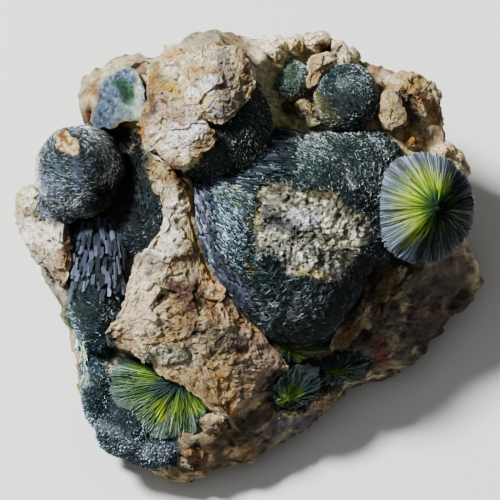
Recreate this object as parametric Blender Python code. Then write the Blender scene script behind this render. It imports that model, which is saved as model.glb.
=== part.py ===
# Wavellite specimen: spherules of radiating crystals in sockets of a broken host rock.
#
# Every place is given as the display face shows it, in millimetres: x to the right, v up that
# face and w out of it. The display face leans back by LEAN, and the rock rests on a flat base at
# z = 0. The great spherule is 20 mm across, and the other sizes follow from it.

import math

import bmesh
import bpy
import numpy as np
from mathutils import Matrix, Vector, noise
from mathutils.geometry import delaunay_2d_cdt

MM = 0.001
LEAN = math.radians(70)
FACE_HEIGHT = 14.0
CLEARANCE = 0.3
BASE_SKIN = 0.4
WALL_INSET, WALL_SLOPE, WALL_BULGE = 1.2, 0.26, 0.9
WALL_BLOCK, WALL_STEP = 6.0, 1.6
# The rings of the rock's walls, from the outline down to the base: share of the way, and bulge.
WALL_RINGS = [(0.3, WALL_BULGE), (0.65, WALL_BULGE), (1.0, 0.0)]
BLOCK_FLARE = 0.4
# How far the weather shifts the stone, and the size of its lumps, on the ground and on a block.
GROUND_WEATHER, BLOCK_WEATHER = (0.55, 3.2), (0.4, 2.1)
LONGEST_EDGE = 3.0
ROCK_FACES_KEPT = 0.55
# Edges of the crystal bodies that bend more than this stay sharp.
SHARP_BEND = math.radians(40)

RIGHT = Vector((1, 0, 0))
UP = Vector((0, math.sin(LEAN), math.cos(LEAN)))
OUT = Vector((0, -math.cos(LEAN), math.sin(LEAN)))

# The outline of the whole rock, clockwise from the left corner.
ROCK_OUTLINE = [
    (-22.8, 6.3, -1.0), (-21.0, 6.5, -2.4), (-18.0, 9.0, -3.6), (-15.8, 11.2, -2.4),
    (-16.6, 13.0, -1.0), (-17.2, 14.6, 0.0), (-17.1, 16.6, 0.0), (-16.0, 17.7, 0.0),
    (-13.3, 19.4, 0.0), (-11.0, 19.9, 1.0), (-10.0, 19.2, 1.0), (-8.5, 20.2, 2.0),
    (-6.0, 21.7, 3.0), (-3.5, 22.4, 3.0), (0.5, 21.3, 1.0), (4.5, 21.7, -1.0),
    (7.5, 21.7, -2.0), (9.5, 20.8, -2.0), (11.1, 19.0, -2.0), (13.0, 18.3, -2.0),
    (15.0, 17.8, -1.0), (17.0, 17.9, -1.0), (18.2, 16.6, -1.0), (19.1, 14.0, -1.0),
    (19.7, 10.7, 0.0), (21.2, 9.0, 0.0), (21.8, 5.0, -2.0), (22.1, 1.2, -4.0),
    (23.6, -2.5, -7.5), (23.6, -3.8, -8.5), (22.2, -5.2, -8.0), (19.0, -8.4, -7.0),
    (16.0, -11.6, -6.0), (13.0, -12.8, -5.5), (10.2, -13.5, -5.0), (8.1, -15.7, -4.2),
    (6.2, -17.4, -3.8), (3.5, -19.1, -3.2), (0.5, -21.1, -2.8), (-1.5, -21.6, -2.6),
    (-4.5, -22.5, -2.4), (-8.2, -22.9, -2.6), (-11.3, -21.7, -3.2), (-13.2, -20.4, -3.5),
    (-15.0, -19.9, -4.0), (-15.4, -18.4, -4.4), (-16.6, -16.0, -4.2), (-17.4, -13.8, -4.0),
    (-17.6, -11.2, -4.0), (-18.4, -8.2, -4.0), (-20.0, -5.0, -4.0), (-21.3, -1.5, -3.6),
    (-23.0, 1.2, -3.0), (-23.6, 3.4, -2.2), (-23.4, 5.0, -1.8),
]

# Peaks, hollows and breaks of slope of the ground between the raised blocks.
ROCK_GROUND = [
    (-22.0, 1.5, -0.5), (-20.2, -3.0, -0.6), (-18.8, -6.0, -0.4), (-17.6, -9.0, -0.8),
    (-16.6, -13.0, -1.4), (-15.8, -16.0, -1.6), (-15.0, 0.0, -1.0), (-15.0, -6.0, -0.8),
    (-11.0, 5.0, -2.5), (-17.0, 8.0, -1.5), (-10.0, -15.0, -0.5), (-12.0, -19.0, -1.8),
    (-9.0, -21.2, -1.4), (-5.0, -19.0, 0.4), (-1.0, -19.5, -0.8), (2.0, -17.5, -0.9),
    (5.0, -16.0, -1.6), (5.0, -12.0, 0.2), (8.5, -12.5, -1.8), (10.0, -10.0, 0.0),
    (11.2, -12.2, -3.2), (12.2, -9.5, -1.6), (13.5, -6.0, 1.4), (15.5, -3.5, 2.6),
    (18.0, -1.2, 2.8), (20.8, 0.2, 1.0), (19.0, -4.0, -1.0), (16.0, -8.0, -1.6),
    (14.5, -10.8, -3.6), (5.0, 1.0, 2.5), (-2.0, 2.0, 2.5), (11.0, 2.0, 2.5),
    (1.0, 9.0, 2.0), (5.0, -7.0, 1.5), (17.0, 5.0, 1.0), (20.0, 8.0, 1.0),
    (2.5, 14.0, 1.6), (1.8, 17.0, 1.6), (4.5, 16.5, -1.2), (5.0, 13.8, -0.6),
    (10.0, 15.5, -0.5), (8.2, 20.2, -1.6), (13.0, 17.6, -1.2), (14.0, 11.0, 0.8),
    (17.0, 12.5, 0.4), (-6.0, 20.6, 6.0), (-3.5, 21.2, 6.4), (-0.8, 20.4, 5.6),
    (1.2, 19.0, 4.2), (1.2, 15.5, 3.0), (-7.2, 19.4, 5.2), (-9.0, 18.8, 4.0),
    (-16.0, 16.8, 1.8), (-13.2, 18.4, 2.2), (-11.0, 18.8, 2.4), (-10.3, 17.0, 2.8),
    (-16.6, 14.6, 1.5), (-15.5, 12.8, 0.8), (-10.5, 14.2, 3.0), (-11.2, 12.2, 2.4),
    (-13.5, 15.5, 2.6), (-5.0, 15.0, 6.0), (-9.0, 14.0, 5.0), (-3.5, 10.0, 4.0),
]

# The raised blocks of the rock: a rim of corners, the peaks within it, and the depth of its foot.
ROCK_BLOCKS = {
    "cap_plate": (
        [
            (-10.0, 18.4, 5.6), (-8.4, 19.0, 7.6), (-6.0, 19.9, 9.2), (-4.5, 20.2, 10.0),
            (-3.0, 20.1, 10.4), (-1.3, 20.3, 10.0), (-0.3, 19.0, 10.0), (0.5, 17.0, 9.8),
            (0.2, 15.6, 10.2), (-0.7, 14.2, 11.0), (-1.6, 13.1, 11.4), (-3.0, 12.5, 11.8),
            (-4.3, 12.8, 12.0), (-6.0, 12.0, 11.2), (-8.5, 10.8, 9.4), (-10.0, 10.0, 7.4),
            (-10.6, 11.5, 6.6), (-10.8, 12.8, 6.2), (-10.3, 15.0, 6.6), (-10.3, 16.8, 6.0),
        ],
        [
            (-6.5, 18.8, 10.4), (-3.5, 18.0, 12.4), (-3.5, 15.0, 13.2), (-6.0, 16.5, 11.8),
            (-6.5, 14.0, 11.6), (-8.5, 16.0, 9.6), (-9.0, 13.0, 8.8), (-1.5, 16.5, 12.0),
            (-5.0, 13.4, 12.6),
        ],
        2.5,
    ),
    "cap_tooth": (
        [
            (-4.3, 12.9, 12.6), (-3.6, 11.7, 12.0), (-3.3, 10.7, 11.4), (-4.6, 9.7, 11.2),
            (-5.7, 9.0, 10.8), (-6.6, 8.3, 10.4), (-7.4, 8.2, 10.0), (-8.5, 8.8, 9.4),
            (-9.4, 9.8, 8.8), (-10.0, 10.7, 7.8), (-8.5, 11.7, 9.8), (-6.5, 12.3, 11.6),
        ],
        [(-6.0, 11.0, 12.3), (-8.0, 10.0, 10.6)],
        2.5,
    ),
    "seam_ridge": (
        [
            (-10.5, 10.0, 6.2), (-9.4, 9.4, 7.2), (-8.2, 8.4, 7.6), (-7.2, 7.2, 7.2),
            (-6.4, 5.8, 6.4), (-6.0, 3.4, 5.7), (-7.9, 3.4, 6.5), (-9.0, 5.3, 6.6),
            (-9.7, 6.8, 6.4), (-10.2, 8.2, 6.0),
        ],
        [(-8.6, 7.0, 7.4), (-7.2, 5.0, 6.9)],
        -1.5,
    ),
    "keel_block": (
        [
            (-7.9, 4.0, 6.6), (-6.0, 3.8, 5.6), (-5.6, 1.5, 5.6), (-5.0, -1.2, 5.4),
            (-3.6, -3.5, 4.8), (-1.0, -6.8, 4.0), (2.0, -9.3, 2.8), (4.0, -11.8, 1.2),
            (3.4, -13.6, 0.4), (2.0, -15.2, 0.0), (0.0, -16.4, -0.2), (-1.4, -18.8, -0.8),
            (-2.2, -16.9, 1.2), (-4.5, -15.2, 2.2), (-7.0, -13.1, 3.0), (-9.8, -11.3, 3.8),
            (-12.0, -10.3, 4.0), (-14.2, -9.4, 3.6), (-14.4, -8.3, 4.4), (-13.1, -7.0, 5.4),
            (-12.4, -5.0, 5.8), (-12.0, -3.4, 6.0), (-11.2, -1.4, 6.3), (-10.0, 0.2, 6.6),
            (-8.6, 2.0, 6.8),
        ],
        [
            (-7.0, 1.0, 7.0), (-8.5, -2.5, 7.3), (-6.0, -3.8, 5.9), (-10.0, -6.5, 6.8),
            (-4.5, -6.2, 5.8), (-2.5, -7.2, 5.6), (-10.0, -9.5, 5.6), (-6.0, -9.3, 5.6),
            (-1.8, -9.5, 5.0), (-4.5, -13.5, 3.8), (-0.5, -12.2, 3.4), (-1.2, -15.5, 2.6),
            (1.2, -14.2, 1.4),
        ],
        -2.0,
    ),
    "left_wedge": (
        [
            (-23.1, 2.8, -0.6), (-21.2, 2.6, 1.8), (-18.8, 2.2, 2.8), (-18.1, 1.7, 2.6),
            (-18.1, -0.2, 2.4), (-18.1, -2.5, 2.0), (-18.7, -3.9, 1.4), (-20.2, -1.8, 0.8),
            (-21.8, 0.0, 0.2), (-22.9, 1.4, -0.6),
        ],
        [(-20.0, 1.0, 2.6), (-19.0, -1.2, 2.5)],
        -2.5,
    ),
    "left_knuckle": (
        [
            (-23.3, 4.6, -0.6), (-23.2, 5.8, -0.2), (-22.4, 6.4, 0.2), (-21.4, 6.5, 0.4),
            (-20.8, 5.8, 1.0), (-20.8, 4.0, 1.2), (-21.2, 2.8, 0.8), (-22.8, 3.2, -0.4),
        ],
        [(-21.9, 5.2, 2.0)],
        -2.5,
    ),
    "cream_block": (
        [
            (13.1, 15.7, 3.4), (14.2, 16.0, 3.8), (15.0, 15.6, 4.0), (15.3, 14.4, 4.0),
            (15.7, 12.9, 3.8), (14.7, 12.3, 3.6), (14.1, 11.8, 3.2), (13.3, 12.6, 3.2),
            (13.0, 14.2, 3.4),
        ],
        [(14.3, 14.2, 4.3)],
        -1.5,
    ),
    "right_knob": (
        [
            (13.3, 17.1, 0.6), (14.7, 17.6, 0.8), (15.8, 17.9, 0.4), (17.0, 17.7, 0.2),
            (18.0, 16.6, -0.2), (18.7, 14.6, -0.4), (19.1, 12.8, -0.6), (19.4, 10.8, -0.4),
            (18.0, 10.4, 0.2), (16.5, 12.0, 0.2), (15.5, 14.2, 0.8), (14.2, 15.6, 1.2),
        ],
        [(15.5, 16.8, 2.8), (16.8, 15.5, 2.6), (17.8, 13.5, 1.4)],
        -3.0,
    ),
    "rust_knuckle": (
        [
            (15.4, 11.0, 1.2), (15.8, 11.7, 1.2), (16.6, 11.8, 1.4), (17.3, 11.2, 1.2),
            (17.4, 10.3, 1.0), (16.6, 10.0, 1.2), (15.8, 10.2, 1.2),
        ],
        [(16.4, 10.9, 2.6)],
        -1.0,
    ),
    "shoulder_block": (
        [
            (18.0, 10.0, 1.5), (18.6, 10.6, 1.5), (19.6, 10.7, 1.2), (20.6, 10.1, 0.8),
            (21.4, 9.2, 0.4), (22.0, 7.8, -0.4), (21.0, 7.5, 1.5), (19.5, 9.0, 2.5),
        ],
        [(19.7, 10.0, 2.8)],
        -2.0,
    ),
    "crust_knuckle_1": (
        [
            (1.2, 19.8, 1.8), (1.6, 21.2, 1.2), (2.8, 21.6, 0.8), (3.8, 21.0, 1.4),
            (3.6, 19.5, 1.8), (2.6, 18.6, 1.8), (1.6, 18.8, 1.8),
        ],
        [(2.5, 20.2, 3.8)],
        -1.5,
    ),
    "crust_knuckle_2": (
        [(3.6, 21.0, 1.0), (4.4, 21.6, 0.6), (5.2, 21.2, 0.8), (5.0, 19.8, 1.4), (3.8, 19.8, 1.4)],
        [(4.4, 20.6, 2.8)],
        -2.5,
    ),
    "crust_knuckle_3": (
        [(5.3, 20.6, 0.4), (6.2, 21.3, 0.0), (7.6, 21.4, -0.4), (7.6, 20.6, 0.4), (6.2, 20.0, 0.8)],
        [(6.6, 20.8, 2.0)],
        -3.0,
    ),
    "crust_knuckle_4": (
        [
            (8.8, 21.0, 0.0), (9.8, 20.2, 0.2), (10.8, 19.2, 0.2), (10.0, 18.2, 1.2),
            (8.8, 18.8, 1.6), (8.4, 19.8, 1.0),
        ],
        [(9.6, 19.6, 2.8)],
        -3.0,
    ),
    "crust_knuckle_5": (
        [
            (6.0, 19.2, 2.6), (7.2, 19.4, 2.8), (8.8, 19.2, 2.2), (9.5, 18.4, 2.0),
            (8.0, 17.6, 2.6), (6.8, 16.5, 2.6), (6.0, 16.2, 2.4), (6.1, 17.8, 2.8),
        ],
        [(7.2, 18.4, 4.2)],
        -1.5,
    ),
    "crust_knuckle_6": (
        [
            (4.6, 14.8, 1.8), (5.5, 14.9, 2.0), (6.2, 14.3, 2.2), (6.8, 12.8, 2.0),
            (6.0, 12.4, 1.8), (5.6, 13.6, 1.8), (4.9, 14.0, 1.8),
        ],
        [(5.8, 14.0, 2.9)],
        -1.5,
    ),
    "rust_ledge": (
        [
            (8.0, -10.0, 0.8), (8.4, -8.8, 1.6), (9.8, -7.0, 2.4), (11.2, -5.8, 2.8),
            (12.6, -4.2, 3.2), (14.0, -2.2, 3.6), (15.2, -1.4, 3.6), (15.8, -1.8, 3.4),
            (14.4, -3.8, 3.0), (13.0, -5.4, 2.5), (11.4, -7.2, 1.7), (10.2, -9.2, 1.0),
            (9.0, -10.2, 0.4),
        ],
        [(10.6, -7.0, 2.7), (12.8, -4.8, 3.3)],
        -2.5,
    ),
    "foot_block": (
        [
            (-5.2, -17.2, 0.8), (-4.2, -16.5, 1.2), (-3.0, -16.8, 1.2), (-2.2, -17.4, 0.8),
            (-2.8, -18.2, 0.2), (-4.5, -18.4, 0.2),
        ],
        [(-3.8, -17.4, 1.9)],
        -1.5,
    ),
    "foot_ledge": (
        [
            (-7.8, -21.2, -1.2), (-7.0, -20.2, -0.6), (-5.5, -19.8, -0.2), (-4.7, -20.0, -0.4),
            (-5.0, -21.2, -1.2), (-6.5, -21.7, -1.4),
        ],
        [(-6.0, -20.5, 0.5)],
        -2.2,
    ),
}

# The great spherule: a dome on its outline, with ribs down its left side and a worn patch in
# the middle that sinks below the crystals around it.
GREAT_CENTRE = (4.5, 1.4, 1.0)
GREAT_HEIGHT, GREAT_DEPTH = 9.0, 6.0
GREAT_SEGMENTS = 44
# Its rings, as degrees above its widest one on the front, and below it at the back.
GREAT_FRONT_RINGS = (76, 64, 54, 44, 34, 22, 10, 0)
GREAT_BACK_RINGS = (25, 60)
GREAT_OUTLINE = [
    (-6.2, 6.2), (-6.0, 4.5), (-5.4, 1.0), (-4.7, -1.0), (-3.8, -2.5), (-2.5, -4.2),
    (-1.0, -6.3), (0.5, -7.8), (1.8, -9.0), (5.0, -9.5), (8.5, -8.5), (10.0, -6.5),
    (11.8, -3.5), (12.8, -1.8), (14.5, -1.2), (15.2, 1.4), (15.8, 5.0), (15.5, 9.0),
    (15.0, 10.5), (13.5, 11.9), (9.0, 11.9), (5.5, 11.8), (4.0, 12.3), (2.2, 12.3),
    (0.5, 11.8), (-1.5, 10.8), (-3.5, 9.3), (-5.3, 7.7),
]
PATCH_OUTLINE = [
    (1.2, 7.2), (3.5, 7.0), (4.5, 6.3), (8.5, 6.0), (9.5, 4.2), (11.5, 3.8), (12.5, 1.5),
    (11.2, 0.0), (10.5, -1.5), (8.5, -3.0), (5.5, -3.0), (4.0, -2.5), (2.2, -0.8),
    (0.5, 0.5), (0.2, 2.5), (1.0, 5.5),
]
PATCH_SINK, RIB_LIFT = 0.7, 0.22

# How far the crystals step in and out on a plain spherule, and how closely the steps follow.
DRUSE_STEP, DRUSE_CLOSENESS = 0.12, 7.3

# Plain spherules: the centre, and the radii across, up and out of the face.
CAPPED = ((-3.5, 12.5, 4.8), (5.8, 5.8, 5.8))
ROUND = ((9.7, 15.3, 1.5), (3.5, 3.5, 3.5))
SMALL = ((4.2, 17.0, 0.0), (1.9, 2.3, 2.2))
LEFT = ((-17.0, 7.8, 2.2), (4.75, 4.75, 4.75))
LEFT_BUD = ((-19.2, 4.5, 1.0), (2.4, 2.2, 2.2))
POCKET = ((-10.8, 4.5, -1.6), (4.2, 6.2, 4.6))
COLUMN = ((-15.2, -3.6, -1.0), (3.3, 6.8, 3.8))
CORNER_BUDS = [
    ((-12.6, -17.6, -1.4), (3.2, 3.4, 2.6)), ((-10.0, -19.6, -2.0), (3.4, 2.4, 2.2)),
    ((-15.3, -14.6, -2.0), (1.9, 3.6, 2.4)),
]

# The blades of the column stand in steps like roof slates: rows down the column, blades in a row.
BLADE_ROWS, BLADES_IN_ROW = 5, 4
BLADE_ROOM = 0.9
BLADE_LENGTH, BLADE_WIDTH, BLADE_THICKNESS = 2.1, 0.8, 0.9
BLADE_LIFT = math.radians(24)
# The blades reach from the top row round to the bottom one, and as far on each side, in degrees.
BLADE_TOP, BLADE_SPAN, BLADE_SIDE = 56, 108, 54

# The sunburst: a broken spherule whose crystals spread from a raised core out to its rim.
SUNBURST_CENTRE = Vector((17.3, 4.2, 4.6))
SUNBURST_RADIUS, SUNBURST_PEAK = 5.5, 4.0
SUNBURST_TURN = math.radians(20)
SUNBURST_RIBS = 26
SUNBURST_FALL = 1.15
SUNBURST_BACK = 0.9
# Its rings from the core to the rim: the share of the radius, and the height of the ribs there.
SUNBURST_RINGS = [(0.15, 0.0), (0.4, 0.2), (0.7, 0.24), (1.0, 0.24)]

# The rings of a split spherule's face, as shares of the way from its core to its rim, the height of
# its ribs, and the angles of the rings on a rounded back.
SPLIT_RINGS = (0.25, 0.6, 1.0)
SPLIT_RIB = 0.16
BACK_TURNS = (0.3, 0.8, 1.2)

# Spherules split through the core: the core, the rim of the broken face and the depth behind it.
FAN = (
    (-6.9, -13.1, 2.2),
    [
        (-13.2, -10.6, 1.6), (-14.2, -12.0, 1.2), (-14.2, -13.5, 0.9), (-13.8, -14.8, 0.6),
        (-12.8, -16.0, 0.4), (-12.0, -17.5, 0.2), (-10.8, -18.3, 0.1), (-9.5, -18.8, 0.0),
        (-8.0, -18.9, 0.0), (-6.5, -18.8, 0.0), (-5.4, -18.3, 0.2), (-5.2, -17.3, 0.6),
        (-4.0, -16.2, 1.2), (-2.2, -17.0, 1.0), (-4.2, -15.0, 1.8), (-6.0, -12.7, 2.1),
        (-7.4, -12.5, 2.2), (-10.0, -11.2, 2.0),
    ],
    4.5,
)
SMALL_FANS = [
    (
        (4.0, -10.0, 1.7),
        [
            (2.3, -8.8, 1.6), (4.0, -8.0, 1.8), (6.6, -7.2, 1.7), (8.4, -7.4, 1.4),
            (8.6, -9.0, 1.0), (8.0, -10.0, 0.8), (6.0, -10.4, 0.9), (4.2, -11.2, 1.0),
        ],
        3.0,
    ),
    (
        (8.6, -12.4, -0.2),
        [
            (7.0, -11.3, 0.2), (8.6, -10.7, 0.4), (10.2, -10.4, 0.2), (11.6, -11.4, -0.6),
            (11.5, -12.8, -1.4), (9.6, -13.2, -1.2), (8.2, -13.4, -1.0), (7.2, -12.6, -0.4),
        ],
        2.6,
    ),
    (
        (3.7, -15.0, 0.5),
        [
            (2.4, -14.4, 0.8), (3.2, -12.8, 1.0), (4.6, -11.6, 1.0), (6.6, -11.6, 0.6),
            (7.2, -13.0, 0.2), (6.6, -14.6, -0.2), (5.0, -15.6, -0.3), (3.6, -15.7, 0.0),
        ],
        2.8,
    ),
]
MINT = (
    (-12.2, 16.3, 4.4),
    [
        (-13.8, 18.2, 3.0), (-13.0, 18.5, 3.2), (-11.7, 18.2, 3.6), (-11.0, 17.0, 4.0),
        (-10.6, 15.5, 4.2), (-10.5, 13.8, 4.0), (-11.0, 13.0, 3.6), (-12.5, 12.8, 3.0),
        (-13.8, 12.2, 2.4), (-15.5, 12.3, 1.8), (-16.0, 13.1, 1.8), (-15.3, 14.5, 2.4),
        (-15.1, 15.5, 2.6), (-14.6, 16.8, 2.8),
    ],
    2.6,
)

# Base colour and roughness of each finish.
FINISHES = {
    "host_rock": ((0.56, 0.46, 0.34), 0.9),
    "dark_crystal": ((0.05, 0.09, 0.09), 0.35),
    "green_crystal": ((0.24, 0.32, 0.10), 0.4),
    "mint_crystal": ((0.42, 0.56, 0.50), 0.45),
}

# The finish of each spherule that isn't green.
SPHERULE_FINISH = {
    "great_spherule": "dark_crystal",
    "capped_spherule": "dark_crystal",
    "round_spherule": "dark_crystal",
    "small_spherule": "dark_crystal",
    "left_spherules": "dark_crystal",
    "mint_spherule": "mint_crystal",
}


def place(x, v, w):
    """The point in space of a place on the display face, in metres."""
    point = RIGHT * x + UP * v + OUT * w
    point.z += FACE_HEIGHT
    return point * MM


def clear_scene():
    for old in list(bpy.data.objects):
        bpy.data.objects.remove(old)


def finish_material(name):
    colour, roughness = FINISHES[name]
    made = bpy.data.materials.get(name) or bpy.data.materials.new(name)
    made.use_nodes = True
    shader = made.node_tree.nodes["Principled BSDF"]
    shader.inputs["Base Color"].default_value = (*colour, 1.0)
    shader.inputs["Roughness"].default_value = roughness
    shader.inputs["Metallic"].default_value = 0.0
    return made


def add_object(name, bm, finish):
    """Stores bm as one object, its faces pointing out. The rock is faceted and crystal is smooth."""
    bmesh.ops.recalc_face_normals(bm, faces=bm.faces)
    bmesh.ops.triangulate(bm, faces=bm.faces)
    mesh = bpy.data.meshes.new(name)
    bm.to_mesh(mesh)
    bm.free()
    mesh.materials.append(finish_material(finish))
    if finish != "host_rock":
        mesh.shade_smooth()
        mesh.set_sharp_from_angle(angle=SHARP_BEND)
    made = bpy.data.objects.new(name, mesh)
    bpy.context.scene.collection.objects.link(made)
    return made


def combine(target, tool, operation, tool_overlaps_itself=False):
    """Joins the tool to the target, or cuts it away, and leaves the tool out of renders."""
    tool.hide_render = True
    tool.display_type = "WIRE"
    step = target.modifiers.new(f"{operation.lower()} {tool.name}", "BOOLEAN")
    step.operation = operation
    step.object = tool
    step.use_self = tool_overlaps_itself


def inside(polygon, x, v):
    """Whether a place lies within a polygon, by the edges that a line to its right crosses."""
    crossings = 0
    for (x0, v0), (x1, v1) in zip(polygon, polygon[1:] + polygon[:1]):
        if (v0 > v) != (v1 > v) and x < x0 + (v - v0) * (x1 - x0) / (v1 - v0):
            crossings += 1
    return crossings % 2 == 1


def triangulated(rim, crown):
    """Indices of the triangles that fill a rim through the points within it."""
    points = [Vector((x, v)) for x, v, _ in rim + crown]
    border = [list(range(len(rim)))]
    places, _, faces, sources, _, _ = delaunay_2d_cdt(points, [], border, 1, 1e-6, True)
    polygon = [(x, v) for x, v, _ in rim]
    filled = []
    for face in faces:
        middle = sum((places[i] for i in face), Vector((0, 0))) / 3
        if inside(polygon, middle.x, middle.y):
            filled.append([sources[i][0] for i in face])
    return filled


def on_base(vertex):
    return vertex.co.z < 0.5 * BASE_SKIN * MM


def split_long_edges(bm):
    """Halves the edges that are longer than LONGEST_EDGE, apart from those of the flat base."""
    bmesh.ops.triangulate(bm, faces=bm.faces)
    long_edges = [
        edge
        for edge in bm.edges
        if edge.calc_length() > LONGEST_EDGE * MM and not all(on_base(v) for v in edge.verts)
    ]
    bmesh.ops.subdivide_edges(bm, edges=long_edges, cuts=1)
    bmesh.ops.triangulate(bm, faces=bm.faces)


def weather(bm, amount, size):
    """Shifts the points by smooth noise, for lumps, pits and ledges, and leaves the base flat."""
    for vertex in bm.verts:
        if not on_base(vertex):
            vertex.co += noise.noise_vector(vertex.co / (size * MM)) * amount * MM
            vertex.co.z = max(vertex.co.z, BASE_SKIN * MM)


def rock_body():
    """The ground of the display face, walls that lean in behind it and the flat base."""
    bm = bmesh.new()
    points = [place(*corner) for corner in ROCK_OUTLINE + ROCK_GROUND]
    top = [bm.verts.new(point) for point in points]
    for face in triangulated(ROCK_OUTLINE, ROCK_GROUND):
        bm.faces.new([top[i] for i in face])
    count = len(ROCK_OUTLINE)
    ring = top[:count]
    for share, bulge in WALL_RINGS:
        lower = []
        for point in points[:count]:
            flat = Vector((point.x, point.y, 0))
            height = Vector((0, 0, point.z * (1 - share)))
            step = WALL_STEP * (noise.cell((flat + height) / (WALL_BLOCK * MM)) - 0.5) * (share < 1)
            inset = (WALL_INSET - bulge - step) * MM + WALL_SLOPE * point.z * share
            lower.append(bm.verts.new(flat - flat.normalized() * inset + height))
        for i in range(count):
            j = (i + 1) % count
            bm.faces.new((ring[i], lower[i], lower[j], ring[j]))
        ring = lower
    bm.faces.new(ring)
    split_long_edges(bm)
    weather(bm, *GROUND_WEATHER)
    return bm


def rock_block(rim, crown, foot):
    """A raised block: its top, walls that flare slightly to its foot, and a flat underside."""
    bm = bmesh.new()
    top = [bm.verts.new(place(*corner)) for corner in rim + crown]
    for face in triangulated(rim, crown):
        bm.faces.new([top[i] for i in face])
    middle = Vector((sum(c[0] for c in rim), sum(c[1] for c in rim))) / len(rim)
    under = []
    for x, v, _ in rim:
        away = Vector((x, v)) - middle
        away.length += BLOCK_FLARE
        under.append(bm.verts.new(place(middle.x + away.x, middle.y + away.y, foot)))
    count = len(rim)
    for i in range(count):
        j = (i + 1) % count
        bm.faces.new((top[i], under[i], under[j], top[j]))
    bm.faces.new(under)
    split_long_edges(bm)
    weather(bm, *BLOCK_WEATHER)
    return bm


def closed_rings(rings, front_pole, back_pole):
    """A closed solid from rings of points, front to back, and a pole beyond each end."""
    bm = bmesh.new()
    stored = [[bm.verts.new(place(*point)) for point in ring] for ring in rings]
    front = bm.verts.new(place(*front_pole))
    back = bm.verts.new(place(*back_pole))
    count = len(stored[0])
    for i in range(count):
        j = (i + 1) % count
        bm.faces.new((front, stored[0][i], stored[0][j]))
        for inner, outer in zip(stored, stored[1:]):
            bm.faces.new((inner[i], outer[i], outer[j], inner[j]))
        bm.faces.new((stored[-1][j], stored[-1][i], back))
    return bm


def great_spherule(grow):
    """A dome over the traced outline, with a rounded back."""
    cx, cv, cw = GREAT_CENTRE
    spokes = sorted(
        (math.atan2(v - cv, x - cx) % math.tau, math.hypot(x - cx, v - cv)) for x, v in GREAT_OUTLINE
    )
    angles = np.linspace(0, math.tau, GREAT_SEGMENTS, endpoint=False)
    reach = np.interp(angles, [a for a, _ in spokes], [r for _, r in spokes], period=math.tau)

    def ring(rise, height, detail):
        points = []
        for i, (angle, length) in enumerate(zip(angles, reach)):
            flat = (length + grow) * math.cos(rise)
            x = cx + flat * math.cos(angle)
            v = cv + flat * math.sin(angle)
            w = cw + (height + grow) * math.sin(rise)
            if detail and inside(PATCH_OUTLINE, x, v):
                w -= PATCH_SINK
            elif detail and i % 2 and x < cx:
                w += RIB_LIFT
            points.append((x, v, w))
        return points

    front = [ring(math.radians(rise), GREAT_HEIGHT, grow == 0.0) for rise in GREAT_FRONT_RINGS]
    back = [ring(math.radians(-rise), GREAT_DEPTH, False) for rise in GREAT_BACK_RINGS]
    peak = cw + GREAT_HEIGHT + grow - (PATCH_SINK if grow == 0.0 else 0.0)
    return closed_rings(front + back, (cx, cv, peak), (cx, cv, cw - GREAT_DEPTH - grow))


def druse_ball(centre, radii, detail, grow):
    """A spherule: a ball whose corners stand out by small crystal steps."""
    bm = bmesh.new()
    bmesh.ops.create_icosphere(bm, subdivisions=detail, radius=1.0)
    for vertex in bm.verts:
        unit = vertex.co.copy()
        step = noise.noise(unit * DRUSE_CLOSENESS + Vector(centre)) * DRUSE_STEP + grow
        vertex.co = place(*(c + u * (r + step) for c, u, r in zip(centre, unit, radii)))
    return bm


def column_blades():
    """Flat blades that lie on the front of the column, each lifted at its lower end."""
    size = Vector((BLADE_WIDTH, BLADE_LENGTH, BLADE_THICKNESS))
    bm = bmesh.new()
    centre = Vector(COLUMN[0])
    for row in range(BLADE_ROWS):
        for i in range(BLADES_IN_ROW):
            share = (i + 0.5 * (row % 2)) / (BLADES_IN_ROW - 0.5)
            rise = math.radians(BLADE_TOP - BLADE_SPAN * row / (BLADE_ROWS - 1))
            side = math.radians(2 * BLADE_SIDE * share - BLADE_SIDE)
            around = (math.cos(rise) * math.sin(side), math.sin(rise), math.cos(rise) * math.cos(side))
            unit = Vector(around)
            surface = centre + Vector([u * r for u, r in zip(unit, COLUMN[1])])
            outward = Vector([u / r for u, r in zip(unit, COLUMN[1])]).normalized()
            across = Vector((0, 1, 0)).cross(outward).normalized()
            along = outward.cross(across)
            frame = Matrix((across, along, outward)).transposed() @ Matrix.Rotation(BLADE_LIFT, 3, "X")
            made = bmesh.ops.create_cube(bm, size=1.0)["verts"]
            for vertex in made:
                vertex.co = place(*(surface + frame @ (vertex.co * size)))
    return bm


def sunburst(grow):
    """A low cone of crystal ribs over a rounded back, turned to the right about the upright axis."""
    turn = Matrix.Rotation(SUNBURST_TURN, 3, "Y")
    segments = 2 * SUNBURST_RIBS
    radius = SUNBURST_RADIUS + grow

    def at(x, v, w):
        return tuple(SUNBURST_CENTRE + turn @ Vector((x, v, w)))

    def ring(reach, height, rib):
        points = []
        for i in range(segments):
            angle = math.tau * i / segments
            lift = rib if i % 2 else 0.0
            points.append(at(reach * math.cos(angle), reach * math.sin(angle), height + lift))
        return points

    front = [
        ring(radius * share, SUNBURST_PEAK * (1 - share**SUNBURST_FALL) + grow, rib)
        for share, rib in SUNBURST_RINGS
    ]
    depth = SUNBURST_BACK * radius
    back = [ring(radius * math.cos(turn), -depth * math.sin(turn), 0.0) for turn in BACK_TURNS]
    return closed_rings(front + back, at(0, 0, SUNBURST_PEAK + grow), at(0, 0, -depth))


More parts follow.
